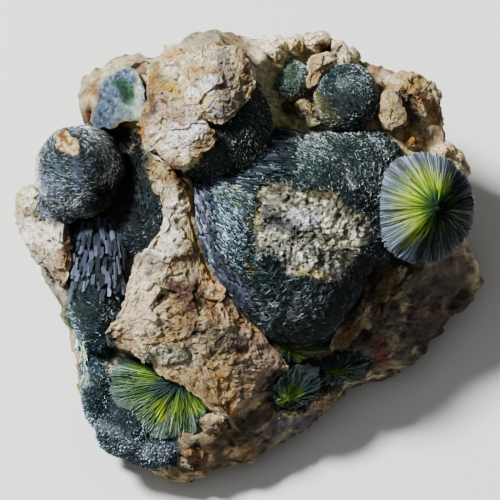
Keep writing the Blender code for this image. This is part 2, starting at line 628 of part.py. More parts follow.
def split_spherule(core, rim, depth, grow, rib=SPLIT_RIB):
    """A spherule split through its core: ribs run from the core to the rim, and its back is rounded."""
    middle = Vector(core)
    corners = [Vector(corner) for corner in rim]
    spokes = []
    for here, ahead in zip(corners, corners[1:] + corners[:1]):
        spokes += [here - middle, (here + ahead) / 2 - middle]

    def ring(share, drop, lift):
        points = []
        for i, spoke in enumerate(spokes):
            reach = spoke.copy()
            reach.length = spoke.length * share + grow
            height = grow - drop + (lift if i % 2 else 0.0)
            points.append(tuple(middle + reach + Vector((0, 0, height))))
        return points

    sunk = depth + 2 * grow
    front = [ring(share, 0.0, rib) for share in SPLIT_RINGS]
    back = [ring(math.cos(turn), sunk * math.sin(turn), 0.0) for turn in BACK_TURNS]
    front_pole = middle + Vector((0, 0, grow))
    back_pole = middle - Vector((0, 0, sunk))
    return closed_rings(front + back, tuple(front_pole), tuple(back_pole))


def spherule_parts(grow):
    """The shapes that are joined in each spherule node. grow widens each of them, for its socket."""
    parts = {f"small_fan_{i}": [split_spherule(*fan, grow)] for i, fan in enumerate(SMALL_FANS, 1)}
    return parts | {
        "great_spherule": [great_spherule(grow)],
        "capped_spherule": [druse_ball(*CAPPED, 3, grow)],
        "round_spherule": [druse_ball(*ROUND, 3, grow)],
        "small_spherule": [druse_ball(*SMALL, 2, grow)],
        "left_spherules": [
            druse_ball(*LEFT, 3, grow),
            druse_ball(*LEFT_BUD, 2, grow),
            druse_ball(*POCKET, 2, grow),
            druse_ball(*COLUMN, 2, grow + BLADE_ROOM if grow else 0.0),
        ],
        "sunburst_spherule": [sunburst(grow)],
        "fan_spherule": [
            split_spherule(*FAN, grow),
            *(druse_ball(*bud, 2, grow) for bud in CORNER_BUDS),
        ],
        "mint_spherule": [split_spherule(*MINT, grow, 0.0)],
    }


def join_parts(name, shapes, finish):
    """One object, the union of its shapes."""
    target = add_object(name, shapes[0], finish)
    for number, shape in enumerate(shapes[1:], 2):
        combine(target, add_object(f"{name}_part_{number}", shape, finish), "UNION")
    return target


def thin_faces(target, share):
    """Merges the small slivers that the cuts leave, until this share of the faces is left."""
    step = target.modifiers.new("fewer slivers", "DECIMATE")
    step.ratio = share
    step.use_collapse_triangulate = True


def cut_clear(target, name, sockets):
    """Cuts the widened shapes of the named spherule away from the target."""
    for tool in sockets[name]:
        combine(target, tool, "DIFFERENCE")


def main():
    clear_scene()
    spherules = {
        name: join_parts(name, shapes, SPHERULE_FINISH.get(name, "green_crystal"))
        for name, shapes in spherule_parts(0.0).items()
    }
    blades = add_object("column_blades", column_blades(), "dark_crystal")
    combine(spherules["left_spherules"], blades, "UNION", tool_overlaps_itself=True)
    sockets = {}
    for name, shapes in spherule_parts(CLEARANCE).items():
        sockets[name] = [
            add_object(f"{name}_socket_{number}", shape, "dark_crystal")
            for number, shape in enumerate(shapes, 1)
        ]
    for neighbour in ("capped_spherule", "round_spherule", "sunburst_spherule"):
        cut_clear(spherules["great_spherule"], neighbour, sockets)
    cut_clear(spherules["small_fan_1"], "great_spherule", sockets)
    stones = [rock_body()] + [rock_block(*block) for block in ROCK_BLOCKS.values()]
    rock = join_parts("matrix_rock", stones, "host_rock")
    for name in spherules:
        cut_clear(rock, name, sockets)
    thin_faces(rock, ROCK_FACES_KEPT)


main()
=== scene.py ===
# Wavellite specimen, dressed: the broken host rock, its spherules of needles, the split fans and
# the bladed column.
#
# Every surface is worked out on the display face, in millimetres: x to the right, v up the face
# and w out of it. The face leans back from upright by LEAN, with its origin FACE_HEIGHT above the
# floor, and the rock rests on its flat base at z = 0. Noise and random draws have fixed seeds.

import math

import bpy
import numpy as np
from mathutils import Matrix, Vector
from mathutils.geometry import delaunay_2d_cdt


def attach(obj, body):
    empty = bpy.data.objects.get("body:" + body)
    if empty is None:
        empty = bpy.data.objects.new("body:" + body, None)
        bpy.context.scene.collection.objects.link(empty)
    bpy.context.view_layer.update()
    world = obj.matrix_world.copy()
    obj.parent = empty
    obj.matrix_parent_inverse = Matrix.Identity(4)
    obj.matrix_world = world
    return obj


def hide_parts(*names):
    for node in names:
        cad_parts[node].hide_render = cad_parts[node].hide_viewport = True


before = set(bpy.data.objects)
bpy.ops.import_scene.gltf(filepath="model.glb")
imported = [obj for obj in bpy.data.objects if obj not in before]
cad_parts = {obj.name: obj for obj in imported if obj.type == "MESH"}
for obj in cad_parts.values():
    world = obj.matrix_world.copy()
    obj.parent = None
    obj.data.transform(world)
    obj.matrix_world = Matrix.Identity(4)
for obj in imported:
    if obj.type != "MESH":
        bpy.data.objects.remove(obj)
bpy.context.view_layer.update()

MM = 0.001
LEAN = math.radians(70)
FACE_HEIGHT = 14.0
TURN = 2 * math.pi
# The directions in space of x, v and w, one in each row.
AXES = np.array([
    (1.0, 0.0, 0.0),
    (0.0, math.sin(LEAN), math.cos(LEAN)),
    (0.0, -math.cos(LEAN), math.sin(LEAN)),
])

# The outline of the whole rock, clockwise from the left corner: x, v and w of each corner.
ROCK_OUTLINE = [
    (-22.8, 6.3, -1.0), (-21.0, 6.5, -2.4), (-18.0, 9.0, -3.6), (-15.8, 11.2, -2.4),
    (-16.6, 13.0, -1.0), (-17.2, 14.6, 0.0), (-17.1, 16.6, 0.0), (-16.0, 17.7, 0.0),
    (-13.3, 19.4, 0.0), (-11.0, 19.9, 1.0), (-10.0, 19.2, 1.0), (-8.5, 20.2, 2.0),
    (-6.0, 21.7, 3.0), (-3.5, 22.4, 3.0), (0.5, 21.3, 1.0), (4.5, 21.7, -1.0),
    (7.5, 21.7, -2.0), (9.5, 20.8, -2.0), (11.1, 19.0, -2.0), (13.0, 18.3, -2.0),
    (15.0, 17.8, -1.0), (17.0, 17.9, -1.0), (18.2, 16.6, -1.0), (19.1, 14.0, -1.0),
    (19.7, 10.7, 0.0), (21.2, 9.0, 0.0), (21.8, 5.0, -2.0), (22.1, 1.2, -4.0),
    (23.6, -2.5, -7.5), (23.6, -3.8, -8.5), (22.2, -5.2, -8.0), (19.0, -8.4, -7.0),
    (16.0, -11.6, -6.0), (13.0, -12.8, -5.5), (10.2, -13.5, -5.0), (8.1, -15.7, -4.2),
    (6.2, -17.4, -3.8), (3.5, -19.1, -3.2), (0.5, -21.1, -2.8), (-1.5, -21.6, -2.6),
    (-4.5, -22.5, -2.4), (-8.2, -22.9, -2.6), (-11.3, -21.7, -3.2), (-13.2, -20.4, -3.5),
    (-15.0, -19.9, -4.0), (-15.4, -18.4, -4.4), (-16.6, -16.0, -4.2), (-17.4, -13.8, -4.0),
    (-17.6, -11.2, -4.0), (-18.4, -8.2, -4.0), (-20.0, -5.0, -4.0), (-21.3, -1.5, -3.6),
    (-23.0, 1.2, -3.0), (-23.6, 3.4, -2.2), (-23.4, 5.0, -1.8),
]

# Peaks, hollows and breaks of slope of the ground between the raised blocks.
ROCK_GROUND = [
    (-22.0, 1.5, -0.5), (-20.2, -3.0, -0.6), (-18.8, -6.0, -0.4), (-17.6, -9.0, -0.8),
    (-16.6, -13.0, -1.4), (-15.8, -16.0, -1.6), (-15.0, 0.0, -1.0), (-15.0, -6.0, -0.8),
    (-11.0, 5.0, -2.5), (-17.0, 8.0, -1.5), (-10.0, -15.0, -0.5), (-12.0, -19.0, -1.8),
    (-9.0, -21.2, -1.4), (-5.0, -19.0, 0.4), (-1.0, -19.5, -0.8), (2.0, -17.5, -0.9),
    (5.0, -16.0, -1.6), (5.0, -12.0, 0.2), (8.5, -12.5, -1.8), (10.0, -10.0, 0.0),
    (11.2, -12.2, -3.2), (12.2, -9.5, -1.6), (13.5, -6.0, 1.4), (15.5, -3.5, 2.6),
    (18.0, -1.2, 2.8), (20.8, 0.2, 1.0), (19.0, -4.0, -1.0), (16.0, -8.0, -1.6),
    (14.5, -10.8, -3.6), (5.0, 1.0, 2.5), (-2.0, 2.0, 2.5), (11.0, 2.0, 2.5),
    (1.0, 9.0, 2.0), (5.0, -7.0, 1.5), (17.0, 5.0, 1.0), (20.0, 8.0, 1.0),
    (2.5, 14.0, 1.6), (1.8, 17.0, 1.6), (4.5, 16.5, -1.2), (5.0, 13.8, -0.6),
    (10.0, 15.5, -0.5), (8.2, 20.2, -1.6), (13.0, 17.6, -1.2), (14.0, 11.0, 0.8),
    (17.0, 12.5, 0.4), (-6.0, 20.6, 6.0), (-3.5, 21.2, 6.4), (-0.8, 20.4, 5.6),
    (1.2, 19.0, 4.2), (1.2, 15.5, 3.0), (-7.2, 19.4, 5.2), (-9.0, 18.8, 4.0),
    (-16.0, 16.8, 1.8), (-13.2, 18.4, 2.2), (-11.0, 18.8, 2.4), (-10.3, 17.0, 2.8),
    (-16.6, 14.6, 1.5), (-15.5, 12.8, 0.8), (-10.5, 14.2, 3.0), (-11.2, 12.2, 2.4),
    (-13.5, 15.5, 2.6), (-5.0, 15.0, 6.0), (-9.0, 14.0, 5.0), (-3.5, 10.0, 4.0),
]

# The raised blocks of the rock: a rim of corners, the peaks within it, and the depth of its foot.
ROCK_BLOCKS = {
    "cap_plate": (
        [
            (-10.0, 18.4, 5.6), (-8.4, 19.0, 7.6), (-6.0, 19.9, 9.2), (-4.5, 20.2, 10.0),
            (-3.0, 20.1, 10.4), (-1.3, 20.3, 10.0), (-0.3, 19.0, 10.0), (0.5, 17.0, 9.8),
            (0.2, 15.6, 10.2), (-0.7, 14.2, 11.0), (-1.6, 13.1, 11.4), (-3.0, 12.5, 11.8),
            (-4.3, 12.8, 12.0), (-6.0, 12.0, 11.2), (-8.5, 10.8, 9.4), (-10.0, 10.0, 7.4),
            (-10.6, 11.5, 6.6), (-10.8, 12.8, 6.2), (-10.3, 15.0, 6.6), (-10.3, 16.8, 6.0),
        ],
        [
            (-6.5, 18.8, 10.4), (-3.5, 18.0, 12.4), (-3.5, 15.0, 13.2), (-6.0, 16.5, 11.8),
            (-6.5, 14.0, 11.6), (-8.5, 16.0, 9.6), (-9.0, 13.0, 8.8), (-1.5, 16.5, 12.0),
            (-5.0, 13.4, 12.6),
        ],
        2.5,
    ),
    "cap_tooth": (
        [
            (-4.3, 12.9, 12.6), (-3.6, 11.7, 12.0), (-3.3, 10.7, 11.4), (-4.6, 9.7, 11.2),
            (-5.7, 9.0, 10.8), (-6.6, 8.3, 10.4), (-7.4, 8.2, 10.0), (-8.5, 8.8, 9.4),
            (-9.4, 9.8, 8.8), (-10.0, 10.7, 7.8), (-8.5, 11.7, 9.8), (-6.5, 12.3, 11.6),
        ],
        [(-6.0, 11.0, 12.3), (-8.0, 10.0, 10.6)],
        2.5,
    ),
    "seam_ridge": (
        [
            (-10.5, 10.0, 6.2), (-9.4, 9.4, 7.2), (-8.2, 8.4, 7.6), (-7.2, 7.2, 7.2),
            (-6.4, 5.8, 6.4), (-6.0, 3.4, 5.7), (-7.9, 3.4, 6.5), (-9.0, 5.3, 6.6),
            (-9.7, 6.8, 6.4), (-10.2, 8.2, 6.0),
        ],
        [(-8.6, 7.0, 7.4), (-7.2, 5.0, 6.9)],
        -1.5,
    ),
    "keel_block": (
        [
            (-7.9, 4.0, 6.6), (-6.0, 3.8, 5.6), (-5.6, 1.5, 5.6), (-5.0, -1.2, 5.4),
            (-3.6, -3.5, 4.8), (-1.0, -6.8, 4.0), (2.0, -9.3, 2.8), (4.0, -11.8, 1.2),
            (3.4, -13.6, 0.4), (2.0, -15.2, 0.0), (0.0, -16.4, -0.2), (-1.4, -18.8, -0.8),
            (-2.2, -16.9, 1.2), (-4.5, -15.2, 2.2), (-7.0, -13.1, 3.0), (-9.8, -11.3, 3.8),
            (-12.0, -10.3, 4.0), (-14.2, -9.4, 3.6), (-14.4, -8.3, 4.4), (-13.1, -7.0, 5.4),
            (-12.4, -5.0, 5.8), (-12.0, -3.4, 6.0), (-11.2, -1.4, 6.3), (-10.0, 0.2, 6.6),
            (-8.6, 2.0, 6.8),
        ],
        [
            (-7.0, 1.0, 7.0), (-8.5, -2.5, 7.3), (-6.0, -3.8, 5.9), (-10.0, -6.5, 6.8),
            (-4.5, -6.2, 5.8), (-2.5, -7.2, 5.6), (-10.0, -9.5, 5.6), (-6.0, -9.3, 5.6),
            (-1.8, -9.5, 5.0), (-4.5, -13.5, 3.8), (-0.5, -12.2, 3.4), (-1.2, -15.5, 2.6),
            (1.2, -14.2, 1.4),
        ],
        -2.0,
    ),
    "left_wedge": (
        [
            (-23.1, 2.8, -0.6), (-21.2, 2.6, 1.8), (-18.8, 2.2, 2.8), (-18.1, 1.7, 2.6),
            (-18.1, -0.2, 2.4), (-18.1, -2.5, 2.0), (-18.7, -3.9, 1.4), (-20.2, -1.8, 0.8),
            (-21.8, 0.0, 0.2), (-22.9, 1.4, -0.6),
        ],
        [(-20.0, 1.0, 2.6), (-19.0, -1.2, 2.5)],
        -2.5,
    ),
    "left_knuckle": (
        [
            (-23.3, 4.6, -0.6), (-23.2, 5.8, -0.2), (-22.4, 6.4, 0.2), (-21.4, 6.5, 0.4),
            (-20.8, 5.8, 1.0), (-20.8, 4.0, 1.2), (-21.2, 2.8, 0.8), (-22.8, 3.2, -0.4),
        ],
        [(-21.9, 5.2, 2.0)],
        -2.5,
    ),
    "cream_block": (
        [
            (13.1, 15.7, 3.4), (14.2, 16.0, 3.8), (15.0, 15.6, 4.0), (15.3, 14.4, 4.0),
            (15.7, 12.9, 3.8), (14.7, 12.3, 3.6), (14.1, 11.8, 3.2), (13.3, 12.6, 3.2),
            (13.0, 14.2, 3.4),
        ],
        [(14.3, 14.2, 4.3)],
        -1.5,
    ),
    "right_knob": (
        [
            (13.3, 17.1, 0.6), (14.7, 17.6, 0.8), (15.8, 17.9, 0.4), (17.0, 17.7, 0.2),
            (18.0, 16.6, -0.2), (18.7, 14.6, -0.4), (19.1, 12.8, -0.6), (19.4, 10.8, -0.4),
            (18.0, 10.4, 0.2), (16.5, 12.0, 0.2), (15.5, 14.2, 0.8), (14.2, 15.6, 1.2),
        ],
        [(15.5, 16.8, 2.8), (16.8, 15.5, 2.6), (17.8, 13.5, 1.4)],
        -3.0,
    ),
    "rust_knuckle": (
        [
            (15.4, 11.0, 1.2), (15.8, 11.7, 1.2), (16.6, 11.8, 1.4), (17.3, 11.2, 1.2),
            (17.4, 10.3, 1.0), (16.6, 10.0, 1.2), (15.8, 10.2, 1.2),
        ],
        [(16.4, 10.9, 2.6)],
        -1.0,
    ),
    "shoulder_block": (
        [
            (18.0, 10.0, 1.5), (18.6, 10.6, 1.5), (19.6, 10.7, 1.2), (20.6, 10.1, 0.8),
            (21.4, 9.2, 0.4), (22.0, 7.8, -0.4), (21.0, 7.5, 1.5), (19.5, 9.0, 2.5),
        ],
        [(19.7, 10.0, 2.8)],
        -2.0,
    ),
    "crust_knuckle_1": (
        [
            (1.2, 19.8, 1.8), (1.6, 21.2, 1.2), (2.8, 21.6, 0.8), (3.8, 21.0, 1.4),
            (3.6, 19.5, 1.8), (2.6, 18.6, 1.8), (1.6, 18.8, 1.8),
        ],
        [(2.5, 20.2, 3.8)],
        -1.5,
    ),
    "crust_knuckle_2": (
        [(3.6, 21.0, 1.0), (4.4, 21.6, 0.6), (5.2, 21.2, 0.8), (5.0, 19.8, 1.4), (3.8, 19.8, 1.4)],
        [(4.4, 20.6, 2.8)],
        -2.5,
    ),
    "crust_knuckle_3": (
        [(5.3, 20.6, 0.4), (6.2, 21.3, 0.0), (7.6, 21.4, -0.4), (7.6, 20.6, 0.4), (6.2, 20.0, 0.8)],
        [(6.6, 20.8, 2.0)],
        -3.0,
    ),
    "crust_knuckle_4": (
        [
            (8.8, 21.0, 0.0), (9.8, 20.2, 0.2), (10.8, 19.2, 0.2), (10.0, 18.2, 1.2),
            (8.8, 18.8, 1.6), (8.4, 19.8, 1.0),
        ],
        [(9.6, 19.6, 2.8)],
        -3.0,
    ),
    "crust_knuckle_5": (
        [
            (6.0, 19.2, 2.6), (7.2, 19.4, 2.8), (8.8, 19.2, 2.2), (9.5, 18.4, 2.0),
            (8.0, 17.6, 2.6), (6.8, 16.5, 2.6), (6.0, 16.2, 2.4), (6.1, 17.8, 2.8),
        ],
        [(7.2, 18.4, 4.2)],
        -1.5,
    ),
    "crust_knuckle_6": (
        [
            (4.6, 14.8, 1.8), (5.5, 14.9, 2.0), (6.2, 14.3, 2.2), (6.8, 12.8, 2.0),
            (6.0, 12.4, 1.8), (5.6, 13.6, 1.8), (4.9, 14.0, 1.8),
        ],
        [(5.8, 14.0, 2.9)],
        -1.5,
    ),
    "rust_ledge": (
        [
            (8.0, -10.0, 0.8), (8.4, -8.8, 1.6), (9.8, -7.0, 2.4), (11.2, -5.8, 2.8),
            (12.6, -4.2, 3.2), (14.0, -2.2, 3.6), (15.2, -1.4, 3.6), (15.8, -1.8, 3.4),
            (14.4, -3.8, 3.0), (13.0, -5.4, 2.5), (11.4, -7.2, 1.7), (10.2, -9.2, 1.0),
            (9.0, -10.2, 0.4),
        ],
        [(10.6, -7.0, 2.7), (12.8, -4.8, 3.3)],
        -2.5,
    ),
    "foot_block": (
        [
            (-5.2, -17.2, 0.8), (-4.2, -16.5, 1.2), (-3.0, -16.8, 1.2), (-2.2, -17.4, 0.8),
            (-2.8, -18.2, 0.2), (-4.5, -18.4, 0.2),
        ],
        [(-3.8, -17.4, 1.9)],
        -1.5,
    ),
    "foot_ledge": (
        [
            (-7.8, -21.2, -1.2), (-7.0, -20.2, -0.6), (-5.5, -19.8, -0.2), (-4.7, -20.0, -0.4),
            (-5.0, -21.2, -1.2), (-6.5, -21.7, -1.4),
        ],
        [(-6.0, -20.5, 0.5)],
        -2.2,
    ),
}

# Small hollows of the ground: place, radius and depth.
ROCK_HOLLOWS = [
    ((8.0, 20.0), 0.7, 1.8), ((7.3, 19.6), 0.5, 1.6), ((5.3, 20.5), 0.5, 1.2),
    ((4.0, 14.0), 0.9, 1.6), ((5.1, 13.6), 0.5, 1.2), ((11.4, -8.2), 0.8, 1.8),
    ((-11.1, 18.3), 0.5, 0.8),
]

# The axes that the crystals of the spherules run round. That of the left ball goes through its
# bare spot.
PLAIN_AXIS, LEFT_AXIS = (0.31, 0.2, 0.93), (-0.27, 0.61, 0.74)

# Spots of the left ball that show bare rock: the two ends of a line and a radius.
BARE_SPOTS = [((-18.6, 11.0), (-17.9, 10.4), 1.0)]

# Stains of the crystals, with a painted highlight and painted light and shade among them: colour,
# the two ends of a line, radius and strength.
CRYSTAL_STAINS_LIGHT_AND_SHADE = [
    # The round spherule, with a painted highlight on its top, and the small one.
    ("a9bcc2", (9.4, 16.8), (11.4, 17.6), 0.7, 0.2),
    ("454424", (7.0, 14.6), (8.6, 12.6), 1.0, 0.7),
    ("5c5a34", (6.4, 15.4), (7.0, 13.6), 0.5, 0.6),
    ("93aab0", (5.3, 18.4), (5.0, 17.4), 0.5, 0.6),
    ("5a7a5c", (3.6, 17.8), (4.4, 16.4), 1.0, 0.4),
    ("6b6436", (2.8, 15.2), (5.2, 14.4), 0.8, 0.8),
    # The left ball, from its pale edge, painted light, to its dark side, painted shade.
    ("a4aaa0", (-21.4, 10.0), (-21.4, 6.6), 0.6, 0.5),
    ("6c7286", (-20.6, 7.2), (-19.2, 5.8), 0.8, 0.4),
    ("546c76", (-19.8, 9.0), (-18.6, 8.2), 0.6, 0.3),
    ("626880", (-17.4, 9.2), (-17.2, 6.4), 0.35, 0.5),
    ("9096b0", (-15.9, 9.2), (-15.1, 8.0), 0.5, 0.4),
    # Painted shade down the ball's right side.
    ("161c1d", (-13.4, 10.8), (-13.8, 5.0), 2.4, 0.9),
    ("1c2a20", (-18.0, 4.6), (-15.6, 4.0), 1.0, 0.6),
    ("767a92", (-21.6, 4.0), (-20.4, 3.2), 0.6, 0.4),
    ("525e68", (-11.6, 5.8), (-10.6, 5.2), 0.5, 0.5),
    ("2a3320", (-15.0, 11.8), (-11.4, 10.4), 0.9, 0.6),
    # The streaks down the left of the fan, and the brightest crust below it.
    ("b8d0b8", (-16.9, -9.6), (-16.5, -13.4), 0.35, 0.6),
    ("4f7a3a", (-17.4, -13.0), (-17.1, -14.4), 0.3, 0.6),
    ("b4bec6", (-12.0, -19.6), (-8.6, -20.8), 1.0, 0.4),
    ("98a4ae", (-15.0, -17.6), (-13.0, -18.4), 0.7, 0.4),
]

# The side of the left ball where the crystals are darkened and dulled as painted shade: the two
# ends of a line and a radius.
PAINTED_SHADE_SIDE = ((-12.8, 11.0), (-13.2, 4.4), 2.5)

# The grid of the rock's ground: its middle, its columns, and its rows on the face and down the
# walls. The foot of a wall stands WALL_INSET and WALL_SLOPE of its height inside the outline. Half
# way down it swells by WALL_BULGE, and blocks WALL_BLOCK wide stand out from it by WALL_STEP.
GROUND_MIDDLE = (2.0, 0.0)
GROUND_COLUMNS, GROUND_ROWS, WALL_ROWS = 350, 108, 30
WALL_INSET, WALL_SLOPE, WALL_BULGE = 1.2, 0.26, 0.9
WALL_BLOCK, WALL_STEP = 6.0, 1.2

# How far the walls of a raised block flare, the columns and rows of the blocks that are pieces of
# their own, and how wide a column of the others is.
BLOCK_FLARE = 0.5
FINE_BLOCKS = {"cap_plate": (280, 68), "keel_block": (300, 80)}
BLOCK_COLUMN = 0.16

# The great spherule: a dome on its outline, with a worn patch in the middle that sinks below the
# crystals around it. On the side that faces GREAT_FULL_SIDE it keeps its height nearly to its edge.
GREAT_CENTRE = (4.5, 1.4, 1.0)
GREAT_HEIGHT, GREAT_DEPTH = 9.0, 6.0
GREAT_FULLNESS, GREAT_FULL_SIDE = 0.8, math.radians(195)
GREAT_COLUMNS, GREAT_NEEDLES = 300, 30400
GREAT_OUTLINE = [
    (-6.2, 6.2), (-6.0, 4.5), (-5.4, 1.0), (-4.7, -1.0), (-3.8, -2.5), (-2.5, -4.2),
    (-1.0, -6.3), (0.5, -7.8), (1.8, -9.0), (5.0, -9.5), (8.5, -8.5), (10.0, -6.5),
    (11.8, -3.5), (12.8, -1.8), (14.5, -1.2), (15.2, 1.4), (15.8, 5.0), (15.5, 9.0),
    (15.0, 10.5), (13.5, 11.9), (9.0, 11.9), (5.5, 11.8), (4.0, 12.3), (2.2, 12.3),
    (0.5, 11.8), (-1.5, 10.8), (-3.5, 9.3), (-5.3, 7.7),
]
PATCH_OUTLINE = [
    (1.2, 7.2), (3.5, 7.0), (4.5, 6.3), (8.5, 6.0), (9.5, 4.2), (11.5, 3.8), (12.5, 1.5),
    (11.2, 0.0), (10.5, -1.5), (8.5, -3.0), (5.5, -3.0), (4.0, -2.5), (2.2, -0.8),
    (0.5, 0.5), (0.2, 2.5), (1.0, 5.5),
]
PATCH_SINK = 0.315

# Plain spherules: the centre, and the radii across, up and out of the face.
CAPPED = ((-3.5, 12.5, 4.8), (5.8, 5.8, 5.8))
ROUND = ((9.7, 15.3, 1.5), (3.5, 3.5, 3.5))
SMALL = ((4.2, 17.0, 0.0), (1.9, 2.3, 2.2))
LEFT = ((-17.0, 7.8, 2.2), (4.75, 4.75, 4.75))
LEFT_BUD = ((-19.2, 4.5, 1.0), (2.4, 2.2, 2.2))
POCKET = ((-10.8, 4.5, -1.6), (4.2, 6.2, 4.6))
COLUMN = ((-15.2, -3.6, -1.0), (3.3, 6.8, 3.8))
CORNER_BUDS = [
    ((-12.6, -17.6, -1.4), (3.2, 3.4, 2.6)), ((-10.0, -19.6, -2.0), (3.4, 2.4, 2.2)),
    ((-15.3, -14.6, -2.0), (1.9, 3.6, 2.4)),
]

# The column's plates: rows down it, and plates in a row.
COLUMN_ROWS, COLUMN_IN_ROW = 12, 14

# The crystals of these spherules, by node. For each spherule: its form, the columns of its surface,
# the way it faces, how many crystals, their length and width, how far they lie over and stray,
# their palette and the axis that they run round.
SPHERULES = [
    ("capped_spherule", [
        (CAPPED, 72, (0.6, -0.7, 0.2), 7200, (0.34, 0.085), 0.55, 0.9, "black_green", PLAIN_AXIS),
    ]),
    ("round_spherule", [(ROUND, 72, (0, 0, 1), 6000, (0.32, 0.08), 0.7, 0.9, "ball", PLAIN_AXIS)]),
    ("small_spherule", [(SMALL, 48, (0, 0, 1), 2400, (0.24, 0.075), 0.6, 0.9, "pale_ball", PLAIN_AXIS)]),
    ("left_spherules", [
        (LEFT, 160, (-0.2, -0.1, 1), 11000, (0.5, 0.08), 0.86, 0.4, "slate", LEFT_AXIS),
        (LEFT_BUD, 64, (-0.3, 0, 1), 2200, (0.44, 0.085), 0.8, 0.5, "slate", PLAIN_AXIS),
        (POCKET, 72, (0, 0, 1), 6300, (0.45, 0.09), 0.7, 0.5, "deep", PLAIN_AXIS),
        (COLUMN, 64, (0, -0.3, 1), 4000, (0.45, 0.11), 0.6, 0.7, "teal", PLAIN_AXIS),
    ]),
]

# The columns of a corner bud's surface, and its crystals in the same terms.
BUD_COLUMNS = 48
BUD_DRUSE = ((0, 0, 1), 2000, (0.26, 0.16), 0.4, 0.9, "frost", PLAIN_AXIS)

# The sunburst: a broken spherule whose crystals spread from a raised core out to its rim. It is a
# cone that leans to the right by SUNBURST_TURN.
SUNBURST_CENTRE = (17.3, 4.2, 4.6)
SUNBURST_RADIUS, SUNBURST_PEAK, SUNBURST_POWER = 5.5, 4.0, 1.15
SUNBURST_TURN = math.radians(20)
# The direction in which the cone points.
SUNBURST_OUT = np.array([math.sin(SUNBURST_TURN), 0.0, math.cos(SUNBURST_TURN)])

# Spherules split through the core: the core, the rim of the broken face and the depth behind it.
FAN = (
    (-6.9, -13.1, 2.2),
    [
        (-13.2, -10.6, 1.6), (-14.2, -12.0, 1.2), (-14.2, -13.5, 0.9), (-13.8, -14.8, 0.6),
        (-12.8, -16.0, 0.4), (-12.0, -17.5, 0.2), (-10.8, -18.3, 0.1), (-9.5, -18.8, 0.0),
        (-8.0, -18.9, 0.0), (-6.5, -18.8, 0.0), (-5.4, -18.3, 0.2), (-5.2, -17.3, 0.6),
        (-4.0, -16.2, 1.2), (-2.2, -17.0, 1.0), (-4.2, -15.0, 1.8), (-6.0, -12.7, 2.1),
        (-7.4, -12.5, 2.2), (-10.0, -11.2, 2.0),
    ],
    4.5,
)
SMALL_FANS = [
    (
        (4.0, -10.0, 1.7),
        [
            (2.3, -8.8, 1.6), (4.0, -8.0, 1.8), (6.6, -7.2, 1.7), (8.4, -7.4, 1.4),
            (8.6, -9.0, 1.0), (8.0, -10.0, 0.8), (6.0, -10.4, 0.9), (4.2, -11.2, 1.0),
        ],
        3.0,
    ),
    (
        (8.6, -12.4, -0.2),
        [
            (7.0, -11.3, 0.2), (8.6, -10.7, 0.4), (10.2, -10.4, 0.2), (11.6, -11.4, -0.6),
            (11.5, -12.8, -1.4), (9.6, -13.2, -1.2), (8.2, -13.4, -1.0), (7.2, -12.6, -0.4),
        ],
        2.6,
    ),
    (
        (3.7, -15.0, 0.5),
        [
            (2.4, -14.4, 0.8), (3.2, -12.8, 1.0), (4.6, -11.6, 1.0), (6.6, -11.6, 0.6),
            (7.2, -13.0, 0.2), (6.6, -14.6, -0.2), (5.0, -15.6, -0.3), (3.6, -15.7, 0.0),
        ],
        2.8,
    ),
]
MINT = (
    (-12.2, 16.3, 4.4),
    [
        (-13.8, 18.2, 3.0), (-13.0, 18.5, 3.2), (-11.7, 18.2, 3.6), (-11.0, 17.0, 4.0),
        (-10.6, 15.5, 4.2), (-10.5, 13.8, 4.0), (-11.0, 13.0, 3.6), (-12.5, 12.8, 3.0),
        (-13.8, 12.2, 2.4), (-15.5, 12.3, 1.8), (-16.0, 13.1, 1.8), (-15.3, 14.5, 2.4),
        (-15.1, 15.5, 2.6), (-14.6, 16.8, 2.8),
    ],
    2.6,
)

# The columns and rows of the broken faces, and how many rays lie on each.
FAN_GRID, SMALL_FAN_GRID, MINT_GRID, SUNBURST_GRID = (300, 44), (120, 14), (160, 38), (320, 28)
FAN_RAYS, SMALL_FAN_RAYS, SUNBURST_RAYS = 1900, 420, 2600

# How much a surface shines, from 0 to 1: rock, the spherules under their crystals, the broken faces
# and the pale section.
ROCK_SHINE, BODY_SHINE, FACE_SHINE, MINT_SHINE = 0.3, 0.2, 0.5, 0.6

# The colours of the rock: two that mix in clouds, then veins, the painted shade of pits, and patches of rust.
ROCK_CREAM, ROCK_TAN, ROCK_GREY, ROCK_PIT_SHADE, ROCK_RUST = "dccca6", "a08658", "948e80", "46362a", "8a6a38"
